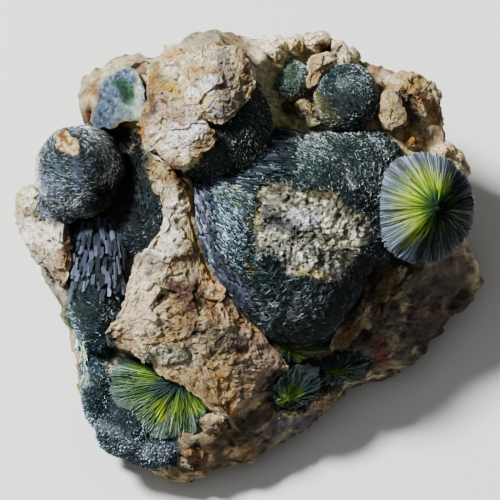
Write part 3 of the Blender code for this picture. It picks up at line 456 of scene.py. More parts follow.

# Stains of the rock, with painted shade and light among them, in the same terms as those of the
# crystals. A later one covers an earlier one.
ROCK_STAINS_LIGHT_AND_SHADE = [
    # The steep faces on the lower right, darkened as painted shade, and the layered foot.
    ("4c463e", (15.0, -3.0), (20.0, -4.0), 6.0, 0.85),
    ("48413b", (12.0, -9.0), (18.0, -8.0), 4.5, 0.85),
    ("52473a", (-6.0, -20.5), (3.0, -17.5), 3.0, 0.8),
    ("6f6a74", (3.2, -17.8), (6.8, -17.0), 1.7, 0.8),
    ("8a7a5a", (7.2, -13.8), (8.4, -15.2), 1.2, 0.7),
    ("8a6230", (7.1, -14.0), (7.8, -14.2), 0.6, 0.8),
    ("8a6424", (-0.9, -20.6), (-0.2, -20.3), 0.5, 0.8),
    ("a07240", (-7.5, -20.2), (-5.2, -20.4), 0.8, 0.7),
    ("6b4426", (-6.6, -21.0), (-5.2, -21.2), 0.4, 0.8),
    ("d8cbb0", (-15.1, -18.9), (-14.2, -20.0), 0.8, 0.9),
    # The strip down the left edge.
    ("979c8e", (-23.0, 2.0), (-17.6, -9.0), 1.1, 0.9),
    ("a3ad80", (-19.4, -5.2), (-17.6, -9.0), 0.5, 0.7),
    # The ridge and the central face.
    ("faf1de", (-7.5, 4.5), (-9.5, -1.0), 2.2, 0.75),
    ("eadcc2", (-11.8, -3.0), (-10.0, -7.0), 2.2, 0.5),
    ("7c6e62", (-10.9, -1.1), (-9.0, -1.5), 0.9, 0.7),
    ("7c5646", (-8.4, -1.4), (-7.4, -1.6), 0.5, 0.7),
    ("553e34", (-7.6, -3.8), (-5.8, -4.2), 1.6, 0.95),
    ("7c5a44", (-6.0, -4.5), (-5.5, -7.8), 0.7, 0.6),
    ("b98d62", (-4.4, -2.6), (-3.4, -4.2), 0.9, 0.7),
    ("98723a", (-4.0, -6.2), (-2.6, -7.2), 0.8, 0.6),
    ("8f6448", (-2.4, -6.2), (1.4, -9.0), 0.9, 0.75),
    ("443a31", (-5.0, -8.8), (-1.2, -9.4), 1.5, 0.85),
    ("aeb4a2", (-9.6, -10.4), (-6.6, -10.8), 1.0, 0.75),
    ("a8843e", (-9.8, -9.2), (-7.8, -8.8), 0.6, 0.65),
    ("94735c", (-13.2, -8.2), (-12.2, -9.8), 0.9, 0.65),
    ("b89c74", (-8.6, -11.8), (-4.6, -14.0), 0.8, 0.6),
    ("9a8272", (0.6, -9.6), (1.6, -13.6), 2.2, 0.75),
    ("5f4e40", (-1.0, -9.0), (-0.8, -14.4), 0.6, 0.6),
    ("8e5e1e", (-2.0, -15.2), (-1.5, -16.2), 0.8, 0.8),
    ("a5803c", (-3.6, -12.4), (-2.4, -12.8), 0.45, 0.6),
    ("a38c74", (-4.8, -17.2), (-2.6, -17.6), 0.9, 0.8),
    # The rusty seam and the rim beside the great spherule.
    ("c4a05c", (-9.6, 9.8), (-8.8, 8.8), 0.7, 0.85),
    ("6e4c28", (-8.0, 8.5), (-6.4, 6.0), 0.75, 0.9),
    ("53371f", (-7.2, 7.5), (-6.6, 6.4), 0.4, 0.9),
    ("b8985c", (-6.1, 5.6), (-5.3, 0.0), 0.5, 0.7),
    ("bb9a66", (-5.0, -0.5), (-3.5, -3.2), 0.5, 0.6),
    # The cap.
    ("efe5d0", (-8.0, 19.0), (-2.0, 19.0), 1.5, 0.6),
    ("b08c40", (-5.4, 18.2), (-3.8, 17.7), 1.0, 0.8),
    ("b98a3c", (-8.4, 19.4), (-6.8, 20.0), 0.6, 0.7),
    ("966c22", (-9.8, 17.2), (-8.6, 16.2), 0.8, 0.85),
    ("c2a63e", (-8.4, 16.1), (-7.0, 15.4), 0.6, 0.7),
    ("8a8077", (-2.4, 17.8), (-1.2, 13.8), 1.9, 0.85),
    ("63463e", (-0.4, 18.8), (0.3, 15.8), 0.7, 0.7),
    ("a98e80", (-9.0, 14.0), (-7.0, 12.6), 1.8, 0.7),
    # Painted shade along the cap's left edge.
    ("4e3829", (-10.3, 15.6), (-9.8, 13.8), 0.6, 0.8),
    ("f2eee8", (-8.6, 10.6), (-5.6, 11.8), 1.5, 0.9),
    ("a58560", (-5.0, 10.0), (-3.8, 11.6), 0.5, 0.8),
    ("b9b4bd", (-3.7, 14.4), (-3.0, 14.0), 0.6, 0.7),
    ("f4f0ea", (-5.6, 15.8), (-4.4, 16.6), 0.9, 0.8),
    # The crest behind the cap.
    ("a5a184", (-6.0, 21.0), (-4.8, 21.0), 0.9, 0.75),
    ("8b897c", (-4.0, 21.6), (-2.8, 21.4), 0.8, 0.8),
    ("8b785a", (-1.8, 21.2), (0.8, 19.5), 1.0, 0.8),
    # Around the pale section and the left edge.
    ("b08a34", (-12.2, 12.8), (-11.2, 12.5), 0.5, 0.8),
    ("b8812e", (-10.9, 12.0), (-10.7, 11.2), 0.35, 0.9),
    ("9a9a7c", (-11.2, 10.4), (-10.2, 9.0), 0.7, 0.7),
    ("8e5c22", (-15.9, 16.6), (-15.3, 15.6), 0.7, 0.8),
    ("865222", (-16.5, 14.4), (-16.2, 13.0), 0.6, 0.85),
    ("b9b8a4", (-17.1, 16.4), (-16.9, 14.4), 0.6, 0.6),
    ("7d6152", (-11.3, 18.5), (-10.8, 18.1), 0.5, 0.8),
    ("f6f0dc", (-22.4, 5.8), (-21.3, 5.4), 1.0, 0.85),
    ("d9c98a", (-21.3, 6.1), (-20.9, 4.4), 0.4, 0.6),
    ("8a4a28", (-22.5, 3.9), (-22.4, 3.4), 0.25, 0.8),
    ("f6eedc", (-22.0, 2.0), (-19.0, 1.0), 1.9, 0.9),
    # Painted shade on the right side of the left wedge.
    ("5b3d20", (-18.1, 1.8), (-18.3, -1.4), 0.55, 0.95),
    ("b8936a", (-19.2, -1.0), (-18.8, -3.0), 0.7, 0.5),
    # The crust along the top.
    ("fbf3de", (1.6, 21.2), (8.4, 21.0), 1.9, 0.95),
    ("a3a2a6", (1.5, 17.2), (2.0, 14.0), 0.55, 0.8),
    ("a8a458", (2.7, 17.6), (2.7, 14.0), 0.5, 0.75),
    ("a08a58", (2.2, 19.2), (3.4, 18.8), 0.6, 0.6),
    ("6b2f1c", (7.2, 19.7), (8.4, 20.3), 0.6, 0.95),
    ("8e5c24", (5.0, 20.6), (6.2, 20.4), 0.45, 0.8),
    ("a89a5c", (5.6, 21.0), (7.0, 20.9), 0.5, 0.7),
    ("54331c", (3.4, 14.0), (5.4, 13.4), 0.6, 0.9),
    ("8a8058", (3.2, 15.2), (4.4, 14.6), 0.8, 0.8),
    ("b5b078", (2.4, 13.0), (4.0, 12.8), 0.8, 0.85),
    ("dcd4cc", (5.2, 12.8), (8.2, 12.2), 0.9, 0.85),
    # The right knobs and ledges.
    ("96683f", (12.4, 18.0), (14.2, 17.6), 0.6, 0.9),
    ("d8d4c6", (13.6, 17.3), (14.8, 16.9), 0.6, 0.8),
    ("c6a268", (15.6, 16.9), (17.0, 16.5), 1.0, 0.85),
    ("a5764a", (17.2, 15.2), (18.4, 13.6), 0.9, 0.7),
    # Painted shade down the right knob.
    ("5a4634", (15.8, 15.0), (17.0, 12.2), 0.9, 0.8),
    ("7d5c4a", (18.5, 14.5), (19.2, 11.0), 0.6, 0.6),
    ("a2732c", (16.2, 11.2), (17.0, 10.8), 0.8, 0.9),
    ("ecd2a4", (18.4, 10.4), (20.4, 10.0), 0.8, 0.9),
    ("77603e", (14.4, -2.8), (12.8, -6.0), 0.8, 0.85),
    ("74512a", (10.4, -7.4), (8.8, -9.8), 0.7, 0.9),
    ("7d5240", (17.6, -6.2), (19.2, -6.8), 0.8, 0.5),
    ("8a5038", (12.8, -9.5), (13.6, -11.4), 0.7, 0.6),
    # Where the druse covers the rock, it is dark beneath the needles.
    ("25343a", (-21.0, 3.5), (-12.5, 3.0), 1.0, 0.95),
    ("22302f", (-13.5, 10.8), (-11.2, 8.6), 1.6, 0.95),
    ("262e22", (-15.6, 11.8), (-11.8, 11.2), 1.0, 0.95),
    ("1c2818", (2.2, -13.6), (3.4, -16.0), 0.9, 0.9),
    ("1c2818", (7.6, -13.2), (4.8, -16.0), 0.9, 0.9),
    ("25363a", (-16.4, -5.5), (-14.8, -10.0), 1.7, 0.95),
    ("22343a", (-15.6, -12.0), (-14.6, -17.0), 1.4, 0.95),
    ("2b3c40", (-14.0, -19.0), (-8.0, -20.6), 1.5, 0.95),
    ("23352f", (5.4, -11.8), (8.0, -12.2), 1.5, 0.9),
    ("24363a", (9.6, -11.0), (11.2, -11.4), 0.9, 0.9),
    # The palest crust: the left knuckle and the rim along the top.
    ("fbf6d8", (-22.8, 6.2), (-21.4, 5.0), 1.2, 0.9),
    # The rim along the top: pale crust made lighter still as painted light where it slopes away from the key
    # light.
    ("fbe8be", (3.0, 20.6), (8.0, 20.2), 1.4, 0.8),
    ("62301f", (7.4, 20.3), (8.4, 19.7), 0.6, 0.95),
    ("d8a850", (4.4, 20.4), (4.9, 19.9), 0.4, 0.8),
    # The hollow beside the small spherule, its cream made lighter as painted light against the cap's shadow.
    ("efe4c0", (1.2, 19.0), (2.0, 13.2), 1.5, 0.9),
    ("c9c080", (2.8, 12.6), (6.4, 12.4), 0.8, 0.7),
]

# Crystals that cover the rock: the two ends of a line, its radius, how many, a palette, and
# whether they are combed: long, and laid along the line.
DRUSE_BELTS = [
    ((-21.0, 3.5), (-12.5, 3.0), 0.9, 1400, "slate", False),
    ((-14.2, 11.2), (-11.2, 8.6), 1.5, 1600, "deep", False),
    ((-16.4, -5.5), (-14.8, -10.0), 1.6, 2600, "teal", False),
    ((-15.8, -12.0), (-14.6, -17.0), 1.4, 2200, "frost", False),
    ((-14.0, -19.0), (-8.0, -20.6), 1.5, 4200, "frost", False),
    ((5.4, -11.8), (8.0, -12.2), 1.5, 1600, "moss", False),
    ((9.6, -11.0), (11.2, -11.4), 0.9, 900, "deep", False),
    ((-15.6, 11.8), (-11.8, 11.2), 1.0, 1500, "olive", False),
    ((2.2, -13.6), (3.4, -16.0), 0.8, 500, "moss", False),
    ((7.6, -13.2), (4.8, -16.0), 0.8, 700, "moss", False),
    ((-16.9, -9.2), (-16.2, -13.6), 0.5, 420, "mint", True),
    ((-16.0, -11.6), (-14.9, -16.2), 0.8, 800, "lavender", True),
    ((-16.8, -12.8), (-16.5, -14.4), 0.35, 160, "leaf", True),
]

# The crystals of a plain and of a combed belt: length and width, how far they lie over, and how far
# they stray.
PLAIN_CRYSTALS = ((0.38, 0.13), 0.55, 0.8)
COMBED_CRYSTALS = ((1.1, 0.13), 0.93, 0.16)

# Mixtures of crystal colours from dark to light, with the share of each.
PALETTES = {
    "slate": [("1e2628", 3.5), ("3a4448", 4), ("5c6770", 3), ("8a969e", 2.2), ("ccd4d8", 1.4)],
    "deep": [("151e23", 4), ("26343c", 4), ("3f4f58", 3), ("647882", 1.2), ("a8b4be", 0.6)],
    "black_green": [("1e2827", 4), ("364542", 4), ("586a63", 3), ("869889", 1.8), ("c4d2c2", 1.0)],
    "teal": [("15272a", 4), ("263f42", 4), ("405e64", 3), ("6c8894", 1.2), ("a8b8c2", 0.6)],
    "frost": [("1a2a30", 4), ("2f444c", 4), ("4f6570", 4), ("74858f", 2), ("a4aeb6", 0.6)],
    "moss": [("141e14", 4), ("22321e", 4), ("36502e", 2), ("324c48", 1.5), ("6c8464", 0.4)],
    "olive": [("1a2018", 4), ("2c3626", 4), ("444f38", 3), ("6a785c", 1.5), ("a4ae94", 0.6)],
    "mint": [("6c8a80", 2), ("98b4a4", 3), ("c0d6c4", 3), ("dce8dc", 1)],
    "lavender": [("2c3440", 3), ("4c5466", 3), ("6c748a", 3), ("989eb2", 1.2)],
    "leaf": [("2c4824", 2), ("4c7434", 3), ("7ca048", 1)],
    "needle": [("1e2c32", 4), ("384a52", 4), ("5e7079", 3), ("8f9eab", 2), ("ccd6d9", 1.2)],
    "night": [("0c1416", 5), ("162324", 4), ("273a3c", 3), ("546c6e", 1.4), ("aebcb9", 0.9)],
    "mist": [("1c2828", 4), ("2f403e", 4), ("4b5d59", 4), ("788a86", 1.8), ("b8c4c0", 0.8)],
    "ball": [("1c2829", 4), ("304041", 4), ("4c6062", 3), ("7a8e90", 1.4), ("c0ccca", 0.6)],
    "pale_ball": [("3c5048", 3), ("5c7064", 4), ("7e9286", 3), ("a4b6ac", 1.6), ("d4ded8", 0.7)],
    "plate": [("222833", 3), ("353c4a", 4), ("4a5265", 4), ("626a80", 3), ("868ea2", 0.9)],
    "shelf": [("131b20", 4), ("1f2a31", 4), ("2d3a43", 4), ("45535d", 1.6), ("78868f", 0.4)],
}


def to_space(places):
    """Display-face places, in millimetres, as points in space, in metres."""
    return (places @ AXES + (0.0, 0.0, FACE_HEIGHT)) * MM


def to_face(points):
    """Points in space, in millimetres, as places on the display face."""
    return (points - (0.0, 0.0, FACE_HEIGHT)) @ AXES.T


def unit(vectors):
    """Each vector divided by its own length."""
    return vectors / np.maximum(np.linalg.norm(vectors, axis=-1, keepdims=True), 1e-9)


def shade(digits):
    """A colour written with two hexadecimal digits each for red, green and blue, as linear light."""
    parts = np.array([int(digits[i : i + 2], 16) for i in (0, 2, 4)]) / 255
    return np.where(parts <= 0.04045, parts / 12.92, ((parts + 0.055) / 1.055) ** 2.4)


def soft_step(share):
    """0 below 0, 1 above 1, and 3t^2 - 2t^3 between."""
    t = np.clip(share, 0.0, 1.0)
    return t * t * (3 - 2 * t)


def blend(under, over, share):
    """Mixes two colours: under + share (over - under)."""
    return under + share * (over - under)


def flattened(vectors, normals):
    """Each vector less its part along the normal, which leaves the part that follows the surface."""
    return vectors - normals * (vectors * normals).sum(axis=-1, keepdims=True)


def lattice_value(cell, seed):
    """A random value from -1 to 1 for each whole-number place: its numbers times large primes,
    mixed by shifts."""
    mixed = cell[..., 0].astype(np.uint32) * np.uint32(73856093)
    mixed ^= cell[..., 1].astype(np.uint32) * np.uint32(19349663)
    mixed ^= cell[..., 2].astype(np.uint32) * np.uint32(83492791)
    mixed ^= np.uint32(seed * 2654435 + 974711)
    for shift, prime in ((16, 73244475), (15, 295559667)):
        mixed = (mixed ^ (mixed >> np.uint32(shift))) * np.uint32(prime)
    mixed ^= mixed >> np.uint32(16)
    return mixed.astype(np.float64) / 2147483648.0 - 1.0


def smooth_noise(points, size, seed):
    """The random values of the eight whole-number places round a point, blended by 3t^2 - 2t^3."""
    scaled = points / size
    low = np.floor(scaled).astype(np.int64)
    part = scaled - low
    part = part * part * (3 - 2 * part)
    total = np.zeros(points.shape[:-1])
    for corner in np.ndindex(2, 2, 2):
        weight = np.abs(1 - np.array(corner) - part).prod(axis=-1)
        total += weight * lattice_value(low + corner, seed)
    return total


def layered_noise(points, size, layers, seed):
    """The sum of smooth noises, each of half the size and about half the height of the last."""
    total = np.zeros(points.shape[:-1])
    for layer in range(layers):
        total += smooth_noise(points + 11.3 * layer, size / 2**layer, seed + layer) * 0.55**layer
    return total


def chips(points, size, seed):
    """Broken faces: each point takes its height over the tilted plane of the nearest of a set of
    scattered centres, one in each cell of a lattice."""
    scaled = points / size
    low = np.floor(scaled).astype(np.int64)
    nearest = np.full(points.shape[:-1], np.inf)
    height = np.zeros(points.shape[:-1])
    for corner in np.ndindex(3, 3, 3):
        cell = low + corner - 1
        shift = np.stack([lattice_value(cell, seed + k) for k in range(3)], axis=-1)
        away = scaled - cell - 0.5 - 0.4 * shift
        distance = (away**2).sum(axis=-1)
        tilt = np.stack([lattice_value(cell, seed + 3 + k) for k in range(3)], axis=-1)
        nearer = distance < nearest
        nearest = np.where(nearer, distance, nearest)
        height = np.where(nearer, (away * tilt).sum(axis=-1) + 0.3 * tilt[..., 0], height)
    return height


def within(polygon, x, v):
    """Whether each place lies in the polygon, by the edges that a line to its right crosses."""
    crossed = np.zeros(x.shape, bool)
    for (x0, v0), (x1, v1) in zip(polygon, polygon[1:] + polygon[:1]):
        if v0 != v1:
            crossed ^= ((v0 > v) != (v1 > v)) & (x < x0 + (v - v0) * (x1 - x0) / (v1 - v0))
    return crossed


def outline_reach(corners, middle, angles):
    """How far an outline lies from its middle in each direction: the corners' distances, joined in
    straight lines over the angle. The same is done for a third number of each corner."""
    away = np.array([corner[:2] for corner in corners]) - middle[:2]
    turns = np.arctan2(away[:, 1], away[:, 0]) % TURN
    order = np.argsort(turns)
    reach = np.interp(angles % TURN, turns[order], np.hypot(*away.T)[order], period=TURN)
    if len(corners[0]) < 3:
        return reach
    heights = np.array([corner[2] for corner in corners])[order]
    return reach, np.interp(angles % TURN, turns[order], heights, period=TURN)


def faceted_height(rim, peaks, x, v):
    """The height of the triangle that each place lies in, among triangles that join the corners of
    the rim and the peaks. A place outside them has no number."""
    corners = np.array(list(rim) + list(peaks))
    flat = [Vector(corner[:2]) for corner in corners]
    _, _, faces, sources, _, _ = delaunay_2d_cdt(flat, [], [list(range(len(rim)))], 1, 1e-6, True)
    polygon = [tuple(corner[:2]) for corner in rim]
    height = np.full(x.shape, np.nan)
    for face in faces:
        a, b, c = corners[[sources[i][0] for i in face]]
        middle = (a + b + c) / 3
        if not within(polygon, middle[:1], middle[1:2])[0]:
            continue
        size = (b[0] - a[0]) * (c[1] - a[1]) - (c[0] - a[0]) * (b[1] - a[1])
        to_b = ((x - a[0]) * (c[1] - a[1]) - (c[0] - a[0]) * (v - a[1])) / size
        to_c = ((b[0] - a[0]) * (v - a[1]) - (x - a[0]) * (b[1] - a[1])) / size
        inside = (to_b >= -1e-6) & (to_c >= -1e-6) & (to_b + to_c <= 1 + 1e-6)
        height[inside] = (a[2] + to_b * (b[2] - a[2]) + to_c * (c[2] - a[2]))[inside]
    return height


def grid_normals(points):
    """Outward directions of a grid whose rows run round it: the way down the rows crossed with the
    way along a row."""
    down = np.gradient(points, axis=0)
    along = np.roll(points, -1, axis=1) - np.roll(points, 1, axis=1)
    return unit(np.cross(down, along))


def capsule(places, start, end):
    """How far each place is, on the display face, from the line between two points."""
    x, v = places[..., 0], places[..., 1]
    run, rise = end[0] - start[0], end[1] - start[1]
    along = np.clip(((x - start[0]) * run + (v - start[1]) * rise) / max(run**2 + rise**2, 1e-9), 0, 1)
    return np.hypot(x - start[0] - along * run, v - start[1] - along * rise)


# A crystal's three feet, and how light they and its tip are: painted shade at the feet, painted light at the
# tip.
CRYSTAL_FEET = [(-0.5, -0.3), (0.5, -0.3), (0.0, 0.6)]
CRYSTAL_TONES = np.array([0.5, 0.5, 0.95, 1.3])

# A blade's cross-section, and for its two ends the place along its length, the width and how light
# they are: painted shade at the foot, painted light at the end.
BLADE_SECTION = [(-0.5, -0.3), (0.5, -0.3), (0.0, 0.5)]
BLADE_ENDS = np.array([-0.1, 0.9])
BLADE_WIDTHS = np.array([1.0, 0.45])
BLADE_TONES = np.array([0.45, 1.2])

# Druse crystals longer than this are blades.
LONG_CRYSTAL = 0.62


def crystals(base, direction, normal, size, tint, shine):
    """Slender pyramids with three sides. A foot (a, b) lies at base + width (a across + b lift), and
    the tip at base + length along. The tips are lighter than the feet, as painted light and shade."""
    count = len(base)
    along = unit(direction)
    across = unit(np.cross(normal, along))
    lift = np.cross(along, across)
    feet = [base + (a * across + b * lift) * size[:, 1:] for a, b in CRYSTAL_FEET]
    points = np.stack(feet + [base + along * size[:, :1]], axis=1)
    colours = tint[:, None] * CRYSTAL_TONES[:, None]
    gloss = np.broadcast_to(shine[:, None, None], (count, 4, 1))
    corners = np.concatenate([points, colours, gloss], axis=-1).reshape(-1, 7)
    sides = np.array([(0, 1, 3), (1, 2, 3), (2, 0, 3), (0, 2, 1)])
    return corners, (np.arange(count)[:, None, None] * 4 + sides).reshape(-1, 3)


def blades(base, direction, normal, size, tint, shine):
    """Prisms with three sides that narrow to a blunt end: rods with two stations."""
    along = unit(direction)
    across = unit(np.cross(normal, along))
    lift = np.cross(along, across)
    narrow = BLADE_WIDTHS[None, :, None] * size[:, 1, None, None]
    path = base[:, None] + along[:, None] * (BLADE_ENDS * size[:, :1])[:, :, None]
    tone = tint[:, None] * BLADE_TONES[:, None]
    return rods(path, across[:, None] * narrow, lift[:, None] * narrow, BLADE_SECTION, tone, shine)


def picked(rng, places, palette, patchy):
    """A colour of the palette for each crystal, a little lighter or darker by chance. A random rank
    to the power e^(-patchy noise) picks it, so neighbours are alike."""
    names, shares = zip(*PALETTES[palette])
    steps = np.cumsum(shares) / sum(shares)
    rank = rng.random(len(places)) ** np.exp(-patchy * layered_noise(places, 1.6, 3, 7))
    chosen = np.minimum(np.searchsorted(steps, rank), len(names) - 1)
    return np.array([shade(name) for name in names])[chosen] * rng.uniform(0.7, 1.3, (len(places), 1))


def druse(rng, places, normals, size, lean, spread, palette, comb=None, axis=PLAIN_AXIS):
    """Small crystals on a surface. They lie over by lean, from 0, upright, to 1, flat, in circles
    round an axis by a course that noise bends, or along comb. spread is how far, in radians, they
    stray. On the shaded side of the left ball they are darkened and dulled as painted shade."""
    count = len(places)
    side = unit(np.cross(normals, axis if comb is None else np.cross(comb, normals)))
    other = np.cross(normals, side)
    turn = rng.normal(0, spread, count)
    if comb is None:
        turn += 1.1 * layered_noise(places, 2.6, 2, 17)
    flat = side * np.cos(turn)[:, None] + other * np.sin(turn)[:, None]
    over = np.clip(lean + rng.normal(0, 0.16, count), 0, 1)[:, None]
    direction = unit(normals * (1 - over) + flat * over)
    length = size[0] * rng.uniform(0.6, 1.5, count)
    width = size[1] * rng.uniform(0.7, 1.5, count)
    base = places - normals * 0.1 - direction * 0.3 * length[:, None]
    tint = paint(picked(rng, places, palette, 0.9), places, CRYSTAL_STAINS_LIGHT_AND_SHADE, 181, 0.5, rng)
    # Painted shade: crystals on the left ball's shaded side are darker and shine less.
    shaded_share = soft_step(1.5 - capsule(places, *PAINTED_SHADE_SIDE[:2]) / PAINTED_SHADE_SIDE[2])
    tint = tint * (rng.uniform(0.75, 1.25, count) * (1 - 0.8 * shaded_share))[:, None]
    shine = rng.uniform(0.2, 1, count) * (1 - 0.9 * shaded_share)
    make = blades if size[0] > LONG_CRYSTAL else crystals
    return make(base, direction, normals, np.stack((length, width), axis=-1), tint, shine)


def bare(places):
    """How far a place on the front of the left ball lies within a spot that no crystals cover: 0
    outside, 1 inside."""
    ragged = 0.35 * layered_noise(places, 0.8, 3, 23)
    spots = [soft_step((1.1 - capsule(places, a, b) / radius + ragged) * 4) for a, b, radius in BARE_SPOTS]
    return np.max(spots, axis=0) * (places[..., 2] > LEFT[0][2])


def closed_grid(points, tint, shine):
    """A closed surface from rows of points that run round it, with a point at the middle of its
    first and of its last row. Each corner holds its place, its colour and its shine."""
    rows, columns = points.shape[:2]
    shine = np.broadcast_to(np.asarray(shine, float), (rows, columns))[..., None]
    grid = np.concatenate([points, np.broadcast_to(tint, points.shape), shine], axis=-1)
    here = np.arange(rows * columns).reshape(rows, columns)
    ahead = np.roll(here, -1, axis=1)
    first = np.full(columns, rows * columns)
    triangles = np.concatenate([
        np.stack((here[:-1], here[1:], ahead[1:]), axis=-1).reshape(-1, 3),
        np.stack((here[:-1], ahead[1:], ahead[:-1]), axis=-1).reshape(-1, 3),
        np.stack((first, here[0], ahead[0]), axis=-1),
        np.stack((first + 1, ahead[-1], here[-1]), axis=-1),
    ])
    ends = np.stack([grid[0].mean(axis=0), grid[-1].mean(axis=0)])
    return np.concatenate([grid.reshape(-1, 7), ends]), triangles


def rods(path, across, lift, section, tint, shine):
    """Closed rods, a cross-section carried along each path. A corner (a, b) of the section lies at
    path + a across + b lift. path, across, lift and tint have a row for each rod and a column for
    each station."""
    count, stations = path.shape[:2]
    section = np.asarray(section, float)
    sides = len(section)
    points = (
        path[:, :, None]
        + section[:, 0, None] * across[:, :, None]
        + section[:, 1, None] * lift[:, :, None]
    )
    colours = np.broadcast_to(tint[:, :, None], points.shape)
    gloss = np.broadcast_to(shine[:, None, None, None], (count, stations, sides, 1))
    corners = np.concatenate([points, colours, gloss], axis=-1).reshape(-1, 7)
    start = np.arange(count)[:, None, None] * stations * sides
    ring = np.arange(stations - 1)[None, :, None] * sides
    here = start + ring + np.arange(sides)
    ahead = start + ring + (np.arange(sides) + 1) % sides
    fan = np.arange(1, sides - 1)
    base = start[:, :, 0]
    tip = base + (stations - 1) * sides
    triangles = [
        np.stack((here, ahead, ahead + sides), axis=-1).reshape(-1, 3),
        np.stack((here, ahead + sides, here + sides), axis=-1).reshape(-1, 3),
        np.stack(np.broadcast_arrays(base, base + fan + 1, base + fan), axis=-1).reshape(-1, 3),
        np.stack(np.broadcast_arrays(tip, tip + fan, tip + fan + 1), axis=-1).reshape(-1, 3),
    ]
    return corners, np.concatenate(triangles)


def paint(tint, places, stains, seed, ragged=0.8, rng=None):
    """Lays stains over a colour. A stain covers what lies within its radius of its line, with a
    mottled edge. With rng, each place takes a lighter form of the stain's colour or none, by
    chance."""
    noise = ragged * layered_noise(places, 1.3, 6, seed)
    for colour, start, end, radius, strength in stains:
        near = capsule(places, start, end) / radius
        cover = strength * soft_step((1.35 - near + noise) / 0.95)
        if rng is not None:
            cover = 0.9 * (rng.random(len(places)) < cover)
        tint = blend(tint, shade(colour) * (1.0 if rng is None else 1.15), cover[..., None])
    return tint


def rock_relief(points):
    """The height of the broken stone over its plain form: chips of four sizes, swells and pits."""
    pits = np.clip(smooth_noise(points, 0.5, 71) - 0.4, 0, 1)
    holes = np.clip(smooth_noise(points, 1.1, 73) - 0.65, 0, 1)
    return (
        0.5 * chips(points, 3.1, 11)
        + 0.2 * chips(points, 1.15, 23)
        + 0.1 * chips(points, 0.55, 31)
        + 0.06 * chips(points, 0.28, 37)
        + 0.14 * layered_noise(points, 2.2, 3, 41)
        - 0.35 * pits
        - 0.6 * holes
        - 0.14
    )


def stain_hold(places):
    """How much of the display face's stains a place takes: all on the face, none on the walls well
    behind it. The face lies deeper towards its lower edge."""
    back = -5 - 7 * soft_step(-places[..., 1] / 8)
    return soft_step((places[..., 2] - back) / 2.5)[..., None]


def rock_tint(places, relief):
    """Cream and tan in soft clouds, grey veins and patches of rust, then the stains with their painted
    shade and light, with dark specks over them and painted shade in the pits."""
    clouds = layered_noise(places, 3.4, 6, 81)[..., None]
    veins = layered_noise(places, 1.1, 5, 91)[..., None]
    mottle = layered_noise(places, 0.42, 4, 97)[..., None]
    tint = blend(shade(ROCK_CREAM), shade(ROCK_TAN), soft_step(0.2 + 0.8 * clouds + 0.5 * mottle))
    tint = blend(tint, shade(ROCK_GREY), 0.7 * soft_step(0.9 * veins))
    rust = soft_step(1.9 * layered_noise(places, 0.8, 6, 99) - 0.8)[..., None]
    tint = blend(tint, shade(ROCK_RUST), 0.6 * rust)
    tint = blend(tint, paint(tint, places, ROCK_STAINS_LIGHT_AND_SHADE, 101), stain_hold(places))
    specks = soft_step((smooth_noise(places, 0.2, 111) - 0.38) * 5)[..., None]
    tint = tint * (1.03 + 0.42 * mottle) * (1 - 0.6 * specks)
    # Painted shade: the colour is darkened where the relief sinks into pits.
    deep = soft_step((-relief - 0.3) * 1.6)[..., None]
    return blend(tint, shade(ROCK_PIT_SHADE) * tint * 3, 0.5 * deep)


def stone(points, rise=1.0):
    """A grid of the rock, moved along its normals by its relief times rise, and its colours."""
    relief = rock_relief(points) * rise
    moved = points + grid_normals(points) * relief[..., None]
    return moved, rock_tint(points, relief)


def ground_grid():
    """The rock's ground: rows from the middle of the display face out to its outline, at the height
    of the triangles between ROCK_GROUND's points, whose edges noise shifts, less the hollows. Then
    rows down the walls, which lean in to the flat base."""
    angles = np.linspace(0, TURN, GROUND_COLUMNS, endpoint=False)
    reach, rim = outline_reach(ROCK_OUTLINE, GROUND_MIDDLE, angles)
    share = np.linspace(0.004, 1, GROUND_ROWS)[:, None]
    x = GROUND_MIDDLE[0] + share * reach * np.cos(angles)
    v = GROUND_MIDDLE[1] + share * reach * np.sin(angles)
    places = np.stack((x, v, np.zeros_like(x)), axis=-1)
    ease = soft_step((1 - share) * 8)
    shift = 0.35 * np.stack([layered_noise(places, 1.3, 3, 51 + k) for k in range(2)]) * ease
    w = faceted_height(ROCK_OUTLINE, ROCK_GROUND, x + shift[0], v + shift[1])
    w = np.where(np.isnan(w), rim, w)
    for (hollow_x, hollow_v), radius, depth in ROCK_HOLLOWS:
        w -= depth * soft_step(1.3 - np.hypot(x - hollow_x, v - hollow_v) / radius)
    front = np.stack((x, v, w), axis=-1)
    edge = to_space(front[-1]) / MM
    flat = edge * (1, 1, 0)
    down = np.linspace(0, 1, WALL_ROWS + 1)[1:, None]
    height = edge[:, 2] * (1 - down)
    bulge = np.interp(down, (0, 0.3, 0.65, 1.0), (WALL_INSET, WALL_BULGE, WALL_BULGE, 0.0))
    wall = np.stack(np.broadcast_arrays(flat[:, 0], flat[:, 1], height), axis=-1)
    step = WALL_STEP * chips(wall, WALL_BLOCK, 61) * soft_step(4 * down) * (down < 0.97)
    inset = WALL_INSET - bulge - step + WALL_SLOPE * edge[:, 2] * down
    wall = wall - unit(flat) * inset[..., None]
    return np.concatenate([front, to_face(wall)])


def rock_ground():
    """The ground with its relief. The base stays flat at z = 0."""
    plain = ground_grid()
    moved, tint = stone(plain)
    height = to_space(plain)[..., 2:] / MM
    hold = soft_step((height - 0.2) / 1.5)
    moved = plain + (moved - plain) * hold
    sunk = np.minimum(to_space(moved)[..., 2] / MM, 0.0)
    return moved - sunk[..., None] * AXES[:, 2], tint


